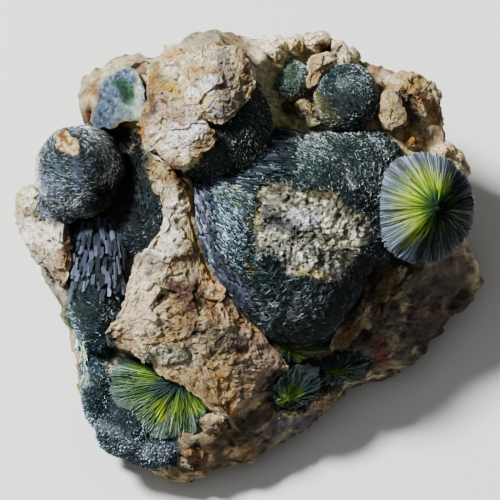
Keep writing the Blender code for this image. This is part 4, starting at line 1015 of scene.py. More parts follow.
def rock_block(rim, crown, foot, columns, rows, rounded):
    """A raised block: rows from its middle to its rim over the peaks, then down its walls, which
    flare a little and turn in again to its foot. A rounded one swells between its peak and rim."""
    middle = np.mean([corner[:2] for corner in rim], axis=0)
    angles = np.linspace(0, TURN, columns, endpoint=False)
    reach, edge = outline_reach(rim, middle, angles)
    share = np.linspace(0.01, 1, rows)[:, None]
    x = middle[0] + share * reach * np.cos(angles)
    v = middle[1] + share * reach * np.sin(angles)
    w = faceted_height(rim, crown, x, v)
    w = np.where(np.isnan(w), edge, w)
    if rounded:
        w = edge + (w - edge) * 0.75 * (1 + share)
    down = np.linspace(0, 1, rows // 4 + 6)[1:, None]
    wide = reach + BLOCK_FLARE * down - 0.8 * reach * soft_step(2.5 * down - 1.5)
    wall = np.stack(
        (
            middle[0] + wide * np.cos(angles),
            middle[1] + wide * np.sin(angles),
            edge + (foot - edge) * down,
        ),
        axis=-1,
    )
    return stone(np.concatenate([np.stack((x, v, w), axis=-1), wall]), 0.7 if rounded else 1.0)


# The rubble that fills the seam between the ridge and the great spherule: places and radii.
SEAM_PATH = [
    (-8.0, 8.7, 5.6, 0.9), (-7.0, 7.4, 5.0, 0.95), (-6.4, 6.2, 4.7, 0.7), (-6.1, 4.5, 4.7, 0.5),
    (-5.5, 1.3, 4.6, 0.45), (-4.8, -0.9, 4.4, 0.45), (-3.8, -2.6, 4.0, 0.5), (-2.5, -4.4, 3.6, 0.5),
    (-1.0, -6.5, 3.0, 0.5), (0.6, -8.1, 2.2, 0.5), (1.9, -9.2, 1.6, 0.5),
]


def rock_seam():
    """A lumpy bead of stone: a circle whose radius follows the seam, carried along it and closed at
    both ends."""
    path = np.array(SEAM_PATH)
    run = np.concatenate([[0], np.cumsum(np.hypot(*np.diff(path[:, :2], axis=0).T))])
    station = np.linspace(0, run[-1], 170)
    x, v, w, radius = (np.interp(station, run, path[:, k]) for k in range(4))
    middle = np.stack((x, v, w), axis=-1)
    along = unit(np.gradient(middle, axis=0))
    across = unit(np.cross((0.0, 0.0, 1.0), along))
    lift = np.cross(along, across)
    closing = np.sqrt(np.clip(1 - np.linspace(-1, 1, len(station)) ** 8, 0.0004, 1))
    turn = np.linspace(0, TURN, 20, endpoint=False)[:, None]
    ring = np.cos(turn) * across[:, None] - np.sin(turn) * lift[:, None]
    return stone(middle[:, None] + ring * (radius * closing)[:, None, None], 0.35)


def great_place(angles, share):
    """Places on the great spherule: the outline's reach times the share, and a height that falls as
    (1 - share^p)^(1/p), where p is 2 and grows on the left, where it stands level with the ridge.
    A share over 1 turns back under the widest ring."""
    reach = outline_reach(GREAT_OUTLINE, GREAT_CENTRE, angles)
    under = np.maximum(share - 1, 0)
    flat = reach * np.where(share > 1, np.sqrt(np.maximum(1 - under**2, 0)), share)
    power = 2 + GREAT_FULLNESS * soft_step((np.cos(angles - GREAT_FULL_SIDE) - 0.35) * 2)
    top = np.maximum(1 - np.minimum(share, 1) ** power, 0) ** (1 / power)
    x = GREAT_CENTRE[0] + flat * np.cos(angles)
    v = GREAT_CENTRE[1] + flat * np.sin(angles)
    return np.stack((x, v, GREAT_CENTRE[2] + GREAT_HEIGHT * top - GREAT_DEPTH * under), axis=-1)


def patch_depth(places):
    """How far a place lies within the worn patch, whose edge noise breaks up: 0 outside, 1 inside."""
    shift = 0.5 * np.stack([layered_noise(places, 1.2, 4, 121 + k) for k in range(2)])
    inner = np.zeros(places.shape[:-1])
    for dx, dv in ((0, 0), (0.35, 0), (-0.35, 0), (0, 0.35), (0, -0.35)):
        inner += within(PATCH_OUTLINE, places[..., 0] + shift[0] + dx, places[..., 1] + shift[1] + dv)
    return inner / 5


def great_normal(angles, share):
    """Outward directions of the great spherule, from two short steps on it."""
    here = great_place(angles, share)
    outward = great_place(angles, share + 0.01) - here
    ahead = great_place(angles + 0.01, share) - here
    return unit(np.cross(outward, ahead))


def great_ground():
    """The surface beneath the great spherule's needles, and the worn, crumbly patch in its middle."""
    angles = np.linspace(0, TURN, GREAT_COLUMNS, endpoint=False)
    near = np.linspace(0.006, 0.62, 80, endpoint=False)
    far = np.sin(np.linspace(math.asin(0.62), math.pi / 2, 22))
    share = np.concatenate([near, far, 1 + np.linspace(0.1, 0.9, 6)])[:, None]
    places = great_place(angles, np.broadcast_to(share, (len(share), GREAT_COLUMNS)))
    patch = patch_depth(places)
    crumbs = 0.2 * chips(places, 0.46, 131) + 0.12 * chips(places, 0.26, 133)
    swells = 0.3 * layered_noise(places, 0.9, 3, 141)
    pores = np.clip(smooth_noise(places, 0.3, 151) - 0.3, 0, 1)
    sponge = crumbs + swells - 0.45 * pores - PATCH_SINK
    moved = places + grid_normals(places) * (patch * sponge - (1 - patch) * 0.18)[..., None]
    cloud = layered_noise(places, 1.5, 5, 161)[..., None]
    crumb = layered_noise(places, 0.34, 3, 163)[..., None]
    worn = blend(shade("a2a092"), shade("6c6f5c"), soft_step(0.35 + 0.9 * cloud))
    worn = blend(worn, shade("e0dcc6"), soft_step(1.1 * crumb - 0.05))
    worn = paint(worn, places, PATCH_STAINS, 171)
    # Painted shade: the patch's colour is darkened in its pores.
    worn = worn * (1 - 0.7 * soft_step(pores * 3))[..., None] * (1.05 + 0.6 * crumb)
    dark = paint(shade("1c2a2c") * (1 + 0.5 * cloud + 0.4 * crumb), places, GREAT_STAINS_AND_SHADE, 181)
    return moved, blend(dark * 0.6, worn, patch[..., None])


# Stains of the worn patch.
PATCH_STAINS = [
    ("5a5230", (1.8, 6.6), (8.8, 5.7), 0.8, 0.9),
    ("9a9258", (0.8, 6.8), (0.5, 2.6), 0.7, 0.8),
    ("c8c2a4", (2.6, 7.0), (3.8, 6.8), 0.5, 0.7),
    ("3e4444", (1.6, 3.6), (4.2, 2.0), 1.0, 0.85),
    ("c4c4ce", (4.8, 3.6), (7.4, 2.2), 0.9, 0.7),
    ("4c5048", (5.4, 0.8), (7.2, -0.6), 0.6, 0.6),
    ("dcd6b4", (7.6, 2.0), (11.0, 0.2), 1.2, 0.65),
    ("a8aaa0", (3.0, -0.6), (5.5, -1.8), 0.8, 0.5),
    ("d6c888", (5.4, -2.5), (8.0, -2.8), 0.6, 0.85),
    ("7c7b5c", (9.5, 4.6), (11.8, 3.0), 0.8, 0.7),
]

# Which way the needles of the great spherule point: places, and the angle there from the x axis.
NEEDLE_FLOW = [
    ((0.0, 8.6), 160), ((-3.5, 4.5), 138), ((-4.0, -0.5), 130), ((-1.5, -4.5), 128),
    ((3.0, 10.5), 172), ((10.0, 8.5), 95), ((12.0, 10.0), 70), ((8.0, 10.0), 140),
    ((13.0, 2.5), 20), ((4.0, -6.0), 250), ((9.0, -5.0), 300),
]


def needle_flow(x, v):
    """The direction of flow at each place, as the mean of the named ones, weighted by the inverse
    fourth power of their distance."""
    total = np.zeros((2,) + x.shape)
    for (near_x, near_v), degrees in NEEDLE_FLOW:
        weight = 1 / ((x - near_x) ** 2 + (v - near_v) ** 2 + 0.3) ** 2
        turn = math.radians(degrees)
        total += weight * np.array([[math.cos(turn)], [math.sin(turn)]])
    return total / np.maximum(np.hypot(*total), 1e-9)


def great_needles():
    """Blades that lie along the flow on the left, short crystals at all angles on the right, and a
    net of long thin ones lower down. At each place order is the share of the first kind, plain of
    the second and net of the third. Few grow on the worn patch, and those at the left edge are dark
    and dull."""
    rng = np.random.default_rng(5)
    count = GREAT_NEEDLES
    angles = rng.uniform(0, TURN, count)
    share = np.sqrt(rng.random(count))
    share = np.where(rng.random(count) < 0.2, rng.uniform(0.86, 1.3, count), share)
    base = great_place(angles, share)
    keep = patch_depth(base) < rng.choice([0.3, 0.7, 1.1], count, p=[0.5, 0.44, 0.06])
    base, normal = base[keep], great_normal(angles[keep], share[keep])
    count = len(base)
    x, v = base[:, 0], base[:, 1]
    flow = np.stack((*needle_flow(x, v), np.zeros(count)), axis=-1)
    order = soft_step((0.2 - x + 0.35 * (v + 2)) / 4.0)
    order = np.maximum(order, 0.8 * soft_step((v - 6.6) / 3) * soft_step((10.0 - x) / 4))
    net = soft_step((0.5 - v) / 3) * (1 - order)
    flow = unit(flow + rng.normal(0, 1, (count, 3)) * (0.16 + 1.4 * (1 - order))[:, None])
    flow = unit(flattened(flow, normal))
    direction = flow + normal * rng.uniform(0.05, 0.6, (count, 1)) * (1.4 - order - 0.6 * net)[:, None]
    plain = 1 - order - net
    length = (
        rng.uniform(0.2, 0.42, count) * plain
        + rng.uniform(0.24, 0.56, count) * order
        + rng.uniform(0.4, 0.95, count) * net
    )
    width = (
        rng.uniform(0.07, 0.13, count) * plain
        + rng.uniform(0.07, 0.18, count) * order
        + rng.uniform(0.035, 0.065, count) * net
    )
    size = np.stack((length, width), axis=-1)
    chance = rng.random((count, 1))
    laid = picked(rng, base, "needle", 0.9)
    tangled = picked(rng, base, "night", 0.9)
    tint = np.where(order[:, None] > chance, laid, tangled)
    upper = soft_step((v - 4.0) / 3) * soft_step((x - 1.0) / 3)
    tint = np.where(upper[:, None] > chance, picked(rng, base, "mist", 1.0), tint)
    tint = paint(tint, base, GREAT_STAINS_AND_SHADE, 181, 0.6, rng)
    # Painted light: the crystals on the dome's left are made up to 1.75 times lighter.
    tint = tint * (1 + 0.75 * soft_step((0.5 - x) / 4) * soft_step((v + 4) / 4))[:, None]
    base = base - normal * 0.14 - unit(direction) * 0.2 * size[:, :1]
    edge = soft_step((share[keep] - 0.7) / 0.12) * (x < 0)
    tint = tint * (1 - 0.5 * edge)[:, None]
    shine = rng.uniform(0.2, 1, count) * (1 - 0.95 * edge)
    parts = []
    for make, chosen in ((blades, order > 0.5), (crystals, order <= 0.5)):
        parts.append(make(*(values[chosen] for values in (base, direction, normal, size, tint, shine))))
    return parts


# Stains of the great spherule's crystals, with painted shade on its right and lower right.
GREAT_STAINS_AND_SHADE = [
    ("a8b0c8", (-3.2, 0.2), (-2.8, -0.6), 0.4, 0.45),
    ("747a9c", (-5.8, 5.8), (-4.2, 6.2), 0.7, 0.4),
    ("70789a", (-5.2, 1.6), (-4.8, 0.6), 0.5, 0.4),
    ("747c98", (-3.6, -3.0), (-2.8, -2.8), 0.5, 0.35),
    ("56627c", (0.2, 9.4), (2.4, 10.4), 0.8, 0.35),
    ("a0acc6", (12.2, 11.2), (12.9, 10.6), 0.6, 0.45),
    ("7f8c70", (-3.6, 5.6), (-0.6, 7.4), 0.7, 0.25),
    ("6f7850", (-1.0, 5.4), (0.2, 3.0), 0.7, 0.2),
    ("c4c8d4", (9.6, 8.8), (10.2, 6.4), 0.5, 0.35),
    ("c4ccd4", (0.4, 0.5), (0.8, -0.8), 0.3, 0.35),
    ("a8884c", (-0.2, -1.6), (0.4, -2.2), 0.25, 0.25),
    # Painted shade on the lower right and right of the dome.
    ("1a2228", (9.8, -3.0), (7.6, -7.8), 2.6, 0.75),
    ("1e2230", (13.6, 0.4), (11.4, -2.6), 1.4, 0.8),
    ("11191a", (10.6, 5.4), (11.6, 4.9), 0.7, 0.7),
]


def ball_lump(places):
    """How far a spherule departs from a true ball: low swells, never above its radius."""
    return np.minimum(0.22 * layered_noise(places, 3.2, 2, 29) - 0.12, 0.05)


def ball_surface(centre, radii, columns):
    """The surface of a spherule beneath its crystals: a ball, slightly lumpy, with raised spots of
    rock where it is bare."""
    angles = np.linspace(0, TURN, columns, endpoint=False)
    tilt = np.linspace(0.02, 0.98, columns // 2)[:, None] * math.pi
    out = np.stack(np.broadcast_arrays(
        np.sin(tilt) * np.cos(angles), np.sin(tilt) * np.sin(angles), np.cos(tilt)
    ), axis=-1)
    places = np.array(centre) + out * np.array(radii)
    spot = bare(places)
    lump = ball_lump(places)
    rough = 0.1 * chips(places, 0.7, 191) - 0.1
    rock = 0.16 + 0.3 * chips(places, 0.8, 193) + 0.3 * layered_noise(places, 0.6, 3, 195)
    moved = places + out * (lump + rough + spot * (rock - rough))[..., None]
    dark = shade("1f2b2b") * (1 + 0.5 * layered_noise(places, 0.9, 5, 197)[..., None])
    dark = 0.75 * paint(dark, places, CRYSTAL_STAINS_LIGHT_AND_SHADE, 181, 0.5)
    grain = layered_noise(places, 0.6, 4, 199)[..., None]
    spotted = blend(shade("d6c096"), shade("8a6238"), soft_step(0.35 + 1.7 * grain))
    spotted = spotted * (1 + 0.7 * layered_noise(places, 0.4, 2, 203)[..., None])
    return moved, blend(dark, spotted, spot[..., None])


def druse_ball(centre, radii, facing, count, size, lean, spread, palette, axis, seed):
    """Small crystals all over the side of a spherule that faces a direction."""
    rng = np.random.default_rng(seed)
    out = unit(rng.normal(0, 1, (count * 3, 3)))
    out = out[(out * unit(np.array(facing, float))).sum(axis=-1) > -0.2][:count]
    places = np.array(centre) + out * np.array(radii)
    normals = unit(out / np.array(radii))
    places = places + normals * ball_lump(places)[:, None]
    clear = bare(places) < 0.3
    return druse(rng, places[clear], normals[clear], size, lean, spread, palette, axis=axis)


def druse_belt(ground, start, end, radius, count, palette, combed, seed):
    """Small crystals on the ground within a radius of a line, at points of the ground's own grid.
    Combed ones are long and lie along the line."""
    rng = np.random.default_rng(seed)
    front = ground[2 : GROUND_ROWS + WALL_ROWS // 2]
    ragged = 0.35 * layered_noise(front, 1.2, 3, seed)
    rows, columns = np.nonzero(capsule(front, start, end) < radius * (1.1 + ragged))
    chosen = rng.integers(0, len(rows), count)
    rows, columns = rows[chosen], columns[chosen]
    places = front[rows, columns] + rng.normal(0, 0.08, (count, 3))
    normals = grid_normals(front)[rows, columns]
    if not combed:
        return druse(rng, places, normals, *PLAIN_CRYSTALS, palette)
    comb = np.array((end[0] - start[0], end[1] - start[1], 0.0))
    return druse(rng, places, normals, *COMBED_CRYSTALS, palette, comb)


# A plate's stations along its length, how light it is there, its cross-section and half thickness.
PLATE_STATIONS = np.array([-0.5, -0.36, 0.1, 0.38, 0.5])
PLATE_TONES = np.array([0.75, 0.95, 1.0, 1.05, 1.15])
PLATE_SECTION = [(-1, -1), (1, -1), (0.85, 1), (-0.85, 1)]
PLATE_HALF = 0.1


def plates(rng, middle, normal, along, length, width, palette):
    """Flat crystals with four sides and uneven ends, which lie on a surface along a direction: rods
    with five stations, whose two ends are narrower by chance."""
    count = len(middle)
    stations = len(PLATE_STATIONS)
    across = unit(np.cross(normal, along) + normal * rng.normal(0, 0.3, (count, 1)))
    lift = np.cross(along, across)
    taper = rng.uniform(0.75, 1.0, (count, stations))
    taper[:, 0] = rng.uniform(0.2, 0.8, count)
    taper[:, -1] = rng.uniform(0.2, 0.9, count)
    path = middle[:, None] + along[:, None] * (PLATE_STATIONS * length[:, None])[:, :, None]
    path = path + normal[:, None] * rng.uniform(-0.12, 0.14, (count, 1, 1))
    path = path + across[:, None] * rng.normal(0, 0.04, (count, stations))[..., None]
    return rods(
        path,
        across[:, None] * (width[:, None] * 0.5 * taper)[..., None],
        lift[:, None] * PLATE_HALF * np.ones(stations)[:, None],
        PLATE_SECTION,
        picked(rng, middle, palette, 0.7)[:, None] * PLATE_TONES[:, None],
        rng.uniform(0.0, 0.35, count),
    )


# Where the great spherule's plates lie: a seed, the arc in degrees, the shares, the lengths and
# widths, how many, and a palette.
GREAT_PLATES = [
    (9, (150, 238), (0.78, 0.985), (0.4, 1.1), (0.12, 0.36), 260, "plate"),
    (11, (92, 140), (0.55, 0.97), (0.7, 1.8), (0.08, 0.22), 230, "shelf"),
]


def great_plates():
    """Larger flat crystals on the great spherule: along its left edge, and in steps at its top left.
    Noise leaves them out in places."""
    shells = []
    for seed, arc, band, lengths, widths, count, palette in GREAT_PLATES:
        rng = np.random.default_rng(seed)
        angles = np.radians(rng.uniform(*arc, count))
        share = rng.uniform(*band, count)
        here = layered_noise(great_place(angles, share), 2.2, 2, seed) > rng.uniform(-0.6, 0.3, count)
        angles, share, count = angles[here], share[here], np.count_nonzero(here)
        places, normal = great_place(angles, share), great_normal(angles, share)
        flow = np.stack((*needle_flow(places[:, 0], places[:, 1]), np.zeros(count)), axis=-1)
        flow = unit(flattened(flow, normal) + rng.normal(0, 0.1, (count, 3)))
        along = unit(flow + normal * rng.uniform(0.0, 0.15, (count, 1)))
        length, width = rng.uniform(*lengths, count), rng.uniform(*widths, count)
        shells.append(plates(rng, places, normal, along, length, width, palette))
    return shells


def column_plates():
    """Flat plates that lie down the front of the column in broken rows, like slates, and thin out
    below its middle. At a level from -1 to 1 up it, the column's width is its radius times
    (1 - |level|^3)^(1/2)."""
    rng = np.random.default_rng(31)
    centre, radii = np.array(COLUMN[0]), np.array(COLUMN[1])
    row, place = np.meshgrid(np.arange(COLUMN_ROWS), np.arange(COLUMN_IN_ROW), indexing="ij")
    row, place = row.ravel(), place.ravel()
    count = row.size
    level = 0.88 - 1.5 * (row + rng.uniform(-0.5, 0.5, count)) / (COLUMN_ROWS - 1)
    step = place + 0.5 * (row % 2) + rng.uniform(-0.3, 0.3, count)
    side = np.radians(-78 + 156 * step / (COLUMN_IN_ROW - 0.5))
    wide = (1 - np.abs(level) ** 3) ** 0.5
    surface = centre + radii * np.stack((wide * np.sin(side), level, wide * np.cos(side)), axis=-1)
    slope = (np.sin(side) / radii[0], 0.5 * level**3 / radii[1], np.cos(side) / radii[2])
    normal = unit(np.stack(slope, axis=-1))
    across = unit(np.cross((0.0, 1.0, 0.0), normal))
    sway = rng.normal(0, 0.12, (count, 1)) + 0.12 * np.sin(side)[:, None] - 0.06
    along = unit(np.cross(across, normal) + across * sway + normal * rng.uniform(0.02, 0.22, (count, 1)))
    keep = rng.random(count) < 0.97 - 0.97 * soft_step((-level - 0.02) * 5)
    length, width = rng.uniform(0.9, 1.9, count), rng.uniform(0.3, 0.66, count)
    return plates(rng, *(values[keep] for values in (surface, normal, along, length, width)), "plate")


# How much lighter or darker one ray of a broken face is than the next, the stations along a ray,
# and its cross-section.
RAY_TONES = [0.5, 0.7, 0.85, 1.0, 1.2, 1.6]
RAY_STATIONS = np.array([0.0, 0.7, 1.0])
RAY_SECTION = [(-1, -1), (1, -1), (0.3, 0.8)]

# How far, in radians, the back of a broken face curves round behind it.
BACK_TURN = 1.35


def split_face(core, rim, depth, columns, rows, tone, seed, ridges=0.08, ragged=0.06):
    """The broken face of a split spherule: rows from its core to its rim, with ridges that run out
    from the core, then the rounded back. ridges is the height of the ridges, and ragged is how far
    the rim strays from its outline, as a share of its reach."""
    angles = np.linspace(0, TURN, columns, endpoint=False)
    reach, edge = outline_reach(rim, core, angles)
    share = np.linspace(0.02, 1, rows)[:, None]
    ring = np.stack((np.cos(angles), np.sin(angles), angles * 0), axis=-1)
    ridge = layered_noise(ring * 7, 1.0, 4, seed)
    jag = 1 + ragged * layered_noise(ring * 6, 1.0, 4, seed + 1)
    x = core[0] + share * reach * jag * np.cos(angles)
    v = core[1] + share * reach * jag * np.sin(angles)
    w = core[2] + share * (edge - core[2]) + ridges * ridge * soft_step(share * 3)
    front = np.stack((x, v, w), axis=-1)
    front[..., 2] += 0.08 * chips(front, 0.5, seed + 2) + 0.1 * layered_noise(front, 1.2, 3, seed + 3)
    turn = np.linspace(0, BACK_TURN, 7)[1:, None]
    back = np.stack((
        core[0] + reach * jag * np.cos(turn) * np.cos(angles),
        core[1] + reach * jag * np.cos(turn) * np.sin(angles),
        w[-1] - depth * np.sin(turn),
    ), axis=-1)
    places = np.concatenate([front, back])
    share = np.concatenate([np.broadcast_to(share, x.shape), np.ones(back.shape[:2])])
    return places, 0.85 * tone(places, share, np.broadcast_to(angles, share.shape), seed)


def split_rays(core, rim, count, tone, seed, first=0.05, ragged=0.0):
    """Blades that lie on a broken face and run out from its core. Ragged ones end farther from the
    rim, before it or past it."""
    rng = np.random.default_rng(seed)
    angles = rng.uniform(0, TURN, count)
    inner = first + (0.85 - first) * rng.random(count)
    ends = rng.uniform(0.88 - ragged, 1.05 + ragged, count)
    outer = np.maximum(np.minimum(inner + rng.uniform(0.08, 0.4, count), ends), inner + 0.04)
    share = inner[:, None] + (outer - inner)[:, None] * RAY_STATIONS
    bent = angles[:, None] + rng.normal(0, 0.035, (count, 1)) * RAY_STATIONS
    reach, edge = outline_reach(rim, core, bent)
    heading = np.stack((np.cos(bent), np.sin(bent)), axis=-1)
    flat = core[:2] + (share * reach)[..., None] * heading
    front = np.concatenate([flat, 0 * share[..., None]], axis=-1)
    lift = 0.03 + 0.14 * rng.random(count)[:, None] ** 2 + 0.1 * layered_noise(front, 1.2, 3, seed + 3)
    w = core[2] + share * (edge - core[2]) + lift
    path = np.concatenate([flat, w[..., None]], axis=-1)
    roll = np.broadcast_to(rng.normal(0, 0.3, (count, 1)), share.shape)
    across = np.stack((-heading[..., 1], heading[..., 0], roll), axis=-1)
    width = (0.02 + 0.06 * rng.random(count) ** 2)[:, None] * (0.4 + share)
    tint = tone(path, share, bent, seed)
    tint = tint * rng.choice(RAY_TONES, (count, 1, 1))
    return rods(
        path,
        unit(across) * width[..., None],
        np.array([0.0, 0.0, 1.0]) * (width * 0.7 + 0.02)[..., None],
        RAY_SECTION,
        tint,
        rng.uniform(0.3, 1, count),
    )


def banded(stops, share):
    """Colours that follow stops of share and colour, mixed in straight lines."""
    shares = [stop[0] for stop in stops]
    colours = np.array([shade(stop[1]) for stop in stops])
    return np.stack([np.interp(share, shares, colours[:, k]) for k in range(3)], axis=-1)


# Colours from core to rim: the lower fan, the three small fans, darkened as painted shade, and the
# sunburst's left, in painted light, and its right, in painted shade.
FAN_BANDS = [
    (0.0, "3c4c50"), (0.2, "4c5c5c"), (0.36, "58704a"), (0.6, "688248"),
    (0.78, "5c7058"), (1.0, "5e6e66"),
]
SHADOW_BANDS = [(0.0, "66763c"), (0.25, "45602e"), (0.5, "2c4636"), (0.8, "2c4040"), (1.0, "263434")]
SUNBURST_PAINTED_LIGHT = [
    (0.0, "122628"), (0.13, "1c3834"), (0.24, "44683c"), (0.36, "86a232"),
    (0.52, "a9b957"), (0.66, "82936f"), (0.8, "65737a"), (1.0, "858d98"),
]
SUNBURST_PAINTED_SHADE = [
    (0.0, "0e1a1c"), (0.22, "16281a"), (0.42, "2e4a1c"), (0.62, "1a2924"),
    (0.8, "18252e"), (1.0, "3a424e"),
]


def fan_tone(places, share, angles, seed):
    """The lower fan: a grey-blue core, a green band and grey-green ends, in streaks and patches."""
    ring = np.stack((np.cos(angles) * 9, np.sin(angles) * 9, share * 1.2), axis=-1)
    streak = layered_noise(ring, 1.0, 4, seed + 5)
    patchy = layered_noise(places, 1.3, 4, seed + 6)
    tint = banded(FAN_BANDS, share + 0.16 * streak + 0.2 * patchy)
    tint = paint(tint, places, FAN_STAINS, seed + 7, 0.5)
    return tint * np.clip(1.03 + 0.4 * streak + 0.3 * patchy, 0.2, 2)[..., None]


# Stains of the lower fan.
FAN_STAINS = [
    ("1e3024", (-13.0, -10.8), (-10.2, -11.6), 0.7, 0.85),
    ("7c9a34", (-11.4, -12.0), (-9.8, -12.6), 0.6, 0.6),
    ("4c6644", (-13.0, -13.0), (-11.4, -14.0), 0.9, 0.5),
    ("5f7164", (-13.8, -12.2), (-13.0, -14.6), 0.6, 0.6),
    ("aebf3c", (-9.1, -15.4), (-8.9, -16.8), 0.45, 0.75),
    ("86a038", (-7.4, -15.6), (-5.4, -15.8), 0.7, 0.65),
    ("5c7a34", (-5.8, -14.2), (-4.4, -15.4), 0.6, 0.6),
    ("8c9c94", (-12.2, -16.4), (-9.8, -18.4), 0.8, 0.5),
    ("1a2a2c", (-3.8, -16.2), (-2.2, -17.0), 0.6, 0.9),
    ("94a488", (-7.6, -17.8), (-6.2, -18.4), 0.6, 0.5),
    ("44545a", (-8.0, -12.8), (-9.6, -14.2), 0.8, 0.6),
]


# Stains of the three small fans.
SHADOW_STAINS = [
    ("66763a", (2.4, -9.0), (5.6, -10.2), 0.9, 0.7),
    ("5c7a30", (5.0, -10.6), (7.0, -10.2), 0.6, 0.6),
    ("6c8434", (3.2, -15.2), (4.2, -14.4), 0.7, 0.6),
]


def shadow_fan_tone(places, share, angles, seed):
    """The three small fans, darkened as painted shade: a yellow-green core and dark teal rays that fade
    at their ends.
    """
    ring = np.stack((np.cos(angles) * 9, np.sin(angles) * 9, share), axis=-1)
    streak = layered_noise(ring, 1.0, 4, seed + 5)
    patchy = layered_noise(places, 1.2, 3, seed + 6)
    tint = banded(SHADOW_BANDS, share + 0.2 * streak + 0.15 * patchy)
    tint = paint(tint, places, SHADOW_STAINS, seed + 7, 0.6)
    return tint * np.clip(0.85 + 0.8 * streak, 0.2, 2.2)[..., None]


def sunburst_tone(share, angles, seed):
    """The sunburst: dark teal core, yellow-green band, grey-blue rim, with painted light on its left and
    painted shade on its right and foot.
    """
    ring = np.stack((np.cos(angles) * 13, np.sin(angles) * 13, share * 1.6), axis=-1)
    streak = layered_noise(ring, 1.0, 4, seed)
    patchy = layered_noise(ring / 5, 1.0, 3, seed + 2)
    along = share + 0.12 * streak + 0.1 * patchy
    # Painted light and shade: rays that face the upper left take the lit colours, the others the shaded ones.
    facing = np.cos(angles - math.radians(158)) + 0.35 * layered_noise(ring / 6, 1.0, 2, seed + 1)
    lit = soft_step(0.42 + 0.85 * facing)[..., None]
    tint = blend(banded(SUNBURST_PAINTED_SHADE, along), banded(SUNBURST_PAINTED_LIGHT, along), lit)
    return tint * np.clip(0.95 + 0.7 * streak, 0.15, 2)[..., None]


def sunburst_place(angles, share, lift):
    """Places on the sunburst's cone, which leans to the right about the upright axis. Its height is
    SUNBURST_PEAK (1 - share^SUNBURST_POWER), plus lift."""
    radius = SUNBURST_RADIUS * share
    height = SUNBURST_PEAK * (1 - np.abs(share) ** SUNBURST_POWER) + lift
    x, v = radius * np.cos(angles), radius * np.sin(angles)
    sin, _, cos = SUNBURST_OUT
    local = np.stack((x * cos + height * sin, v, height * cos - x * sin), axis=-1)
    return local + np.array(SUNBURST_CENTRE)


def sunburst_body():
    """The cone's ribbed surface, and its rounded back."""
    columns, rows = SUNBURST_GRID
    angles = np.linspace(0, TURN, columns, endpoint=False)
    ring = np.stack((np.cos(angles), np.sin(angles), angles * 0), axis=-1)
    ridge = layered_noise(ring * 8, 1.0, 4, 201)
    jag = 1 + 0.04 * layered_noise(ring * 12, 1.0, 3, 203)
    share = np.linspace(0.02, 1, rows)[:, None]
    front = sunburst_place(angles, share * jag, 0.16 * ridge * soft_step(share * 2.5))
    turn = np.linspace(0, BACK_TURN, 9)[1:, None]
    back = sunburst_place(angles, 0 * angles + jag * np.cos(turn), 0.0)
    height = SUNBURST_PEAK * (1 - np.abs(jag * np.cos(turn)) ** SUNBURST_POWER)
    sunk = -0.9 * SUNBURST_RADIUS * np.sin(turn) - height
    back = back + sunk[..., None] * SUNBURST_OUT
    share = np.concatenate([np.broadcast_to(share, front.shape[:2]), np.ones(back.shape[:2])])
    tint = sunburst_tone(share, np.broadcast_to(angles, share.shape), 205)
    return np.concatenate([front, back]), 0.75 * tint


def sunburst_rays():
    """Blades down the cone from near its peak to the broken rim."""
    rng = np.random.default_rng(41)
    count = SUNBURST_RAYS
    angles = rng.uniform(0, TURN, count)
    inner = 0.04 + 0.8 * rng.random(count) ** 0.9
    outer = np.minimum(inner + rng.uniform(0.15, 0.5, count), rng.uniform(0.9, 1.03, count))
    share = inner[:, None] + (outer - inner)[:, None] * RAY_STATIONS
    lift = 0.02 + 0.14 * rng.random(count)[:, None] ** 2
    turned = np.broadcast_to(angles[:, None], share.shape)
    path = sunburst_place(turned, share, lift)
    across = unit(sunburst_place(turned + 0.01, share, lift) - path)
    width = (0.03 + 0.05 * rng.random(count))[:, None] * (0.3 + share)
    lean = unit(across + SUNBURST_OUT * rng.normal(0, 0.5, (count, 1, 1)))
    tint = sunburst_tone(share, turned, 205)
    tint = tint * rng.choice(RAY_TONES, (count, 1, 1))
    return rods(
        path,
        lean * width[..., None],
        SUNBURST_OUT * (width * 0.8 + 0.03)[..., None],
        RAY_SECTION,
        tint,
        rng.uniform(0.4, 1, count),
    )


def mint_tone(places, share, angles, seed):
    """The pale section: speckled blue-grey, with an emerald core and a mint rim on its right."""
    ring = np.stack((np.cos(angles) * 7, np.sin(angles) * 7, share), axis=-1)
    streak = layered_noise(ring, 1.0, 3, seed + 5)
    cloud = layered_noise(places, 0.6, 5, seed + 6)
    speck = layered_noise(places, 0.24, 2, seed + 7)
    tint = shade("66768a") * (1 + 0.4 * cloud + 0.5 * speck)[..., None]
    tint = paint(tint, places, MINT_STAINS, seed + 8)
    return tint * np.clip(1 + 0.3 * streak * (1 - share) ** 2 + 0.2 * cloud + 0.3 * speck, 0.2, 2)[..., None]


# Stains of the pale section.
MINT_STAINS = [
    ("8c9ea8", (-12.6, 14.6), (-11.6, 13.2), 1.1, 0.6),
    ("d4e6d0", (-11.2, 17.6), (-10.9, 13.6), 0.75, 0.95),
    ("a8c0ae", (-12.2, 14.4), (-11.4, 14.0), 0.7, 0.6),
    ("1f4e38", (-12.9, 16.6), (-12.2, 15.4), 0.8, 0.95),
    ("4f7c58", (-11.9, 16.4), (-11.8, 14.8), 0.4, 0.7),
    ("d8d0b0", (-14.4, 17.9), (-12.4, 18.6), 0.5, 0.85),
    ("8a8250", (-13.2, 12.4), (-11.6, 12.8), 0.4, 0.8),
    ("bfb8a0", (-16.0, 15.2), (-16.0, 12.4), 0.5, 0.8),
]


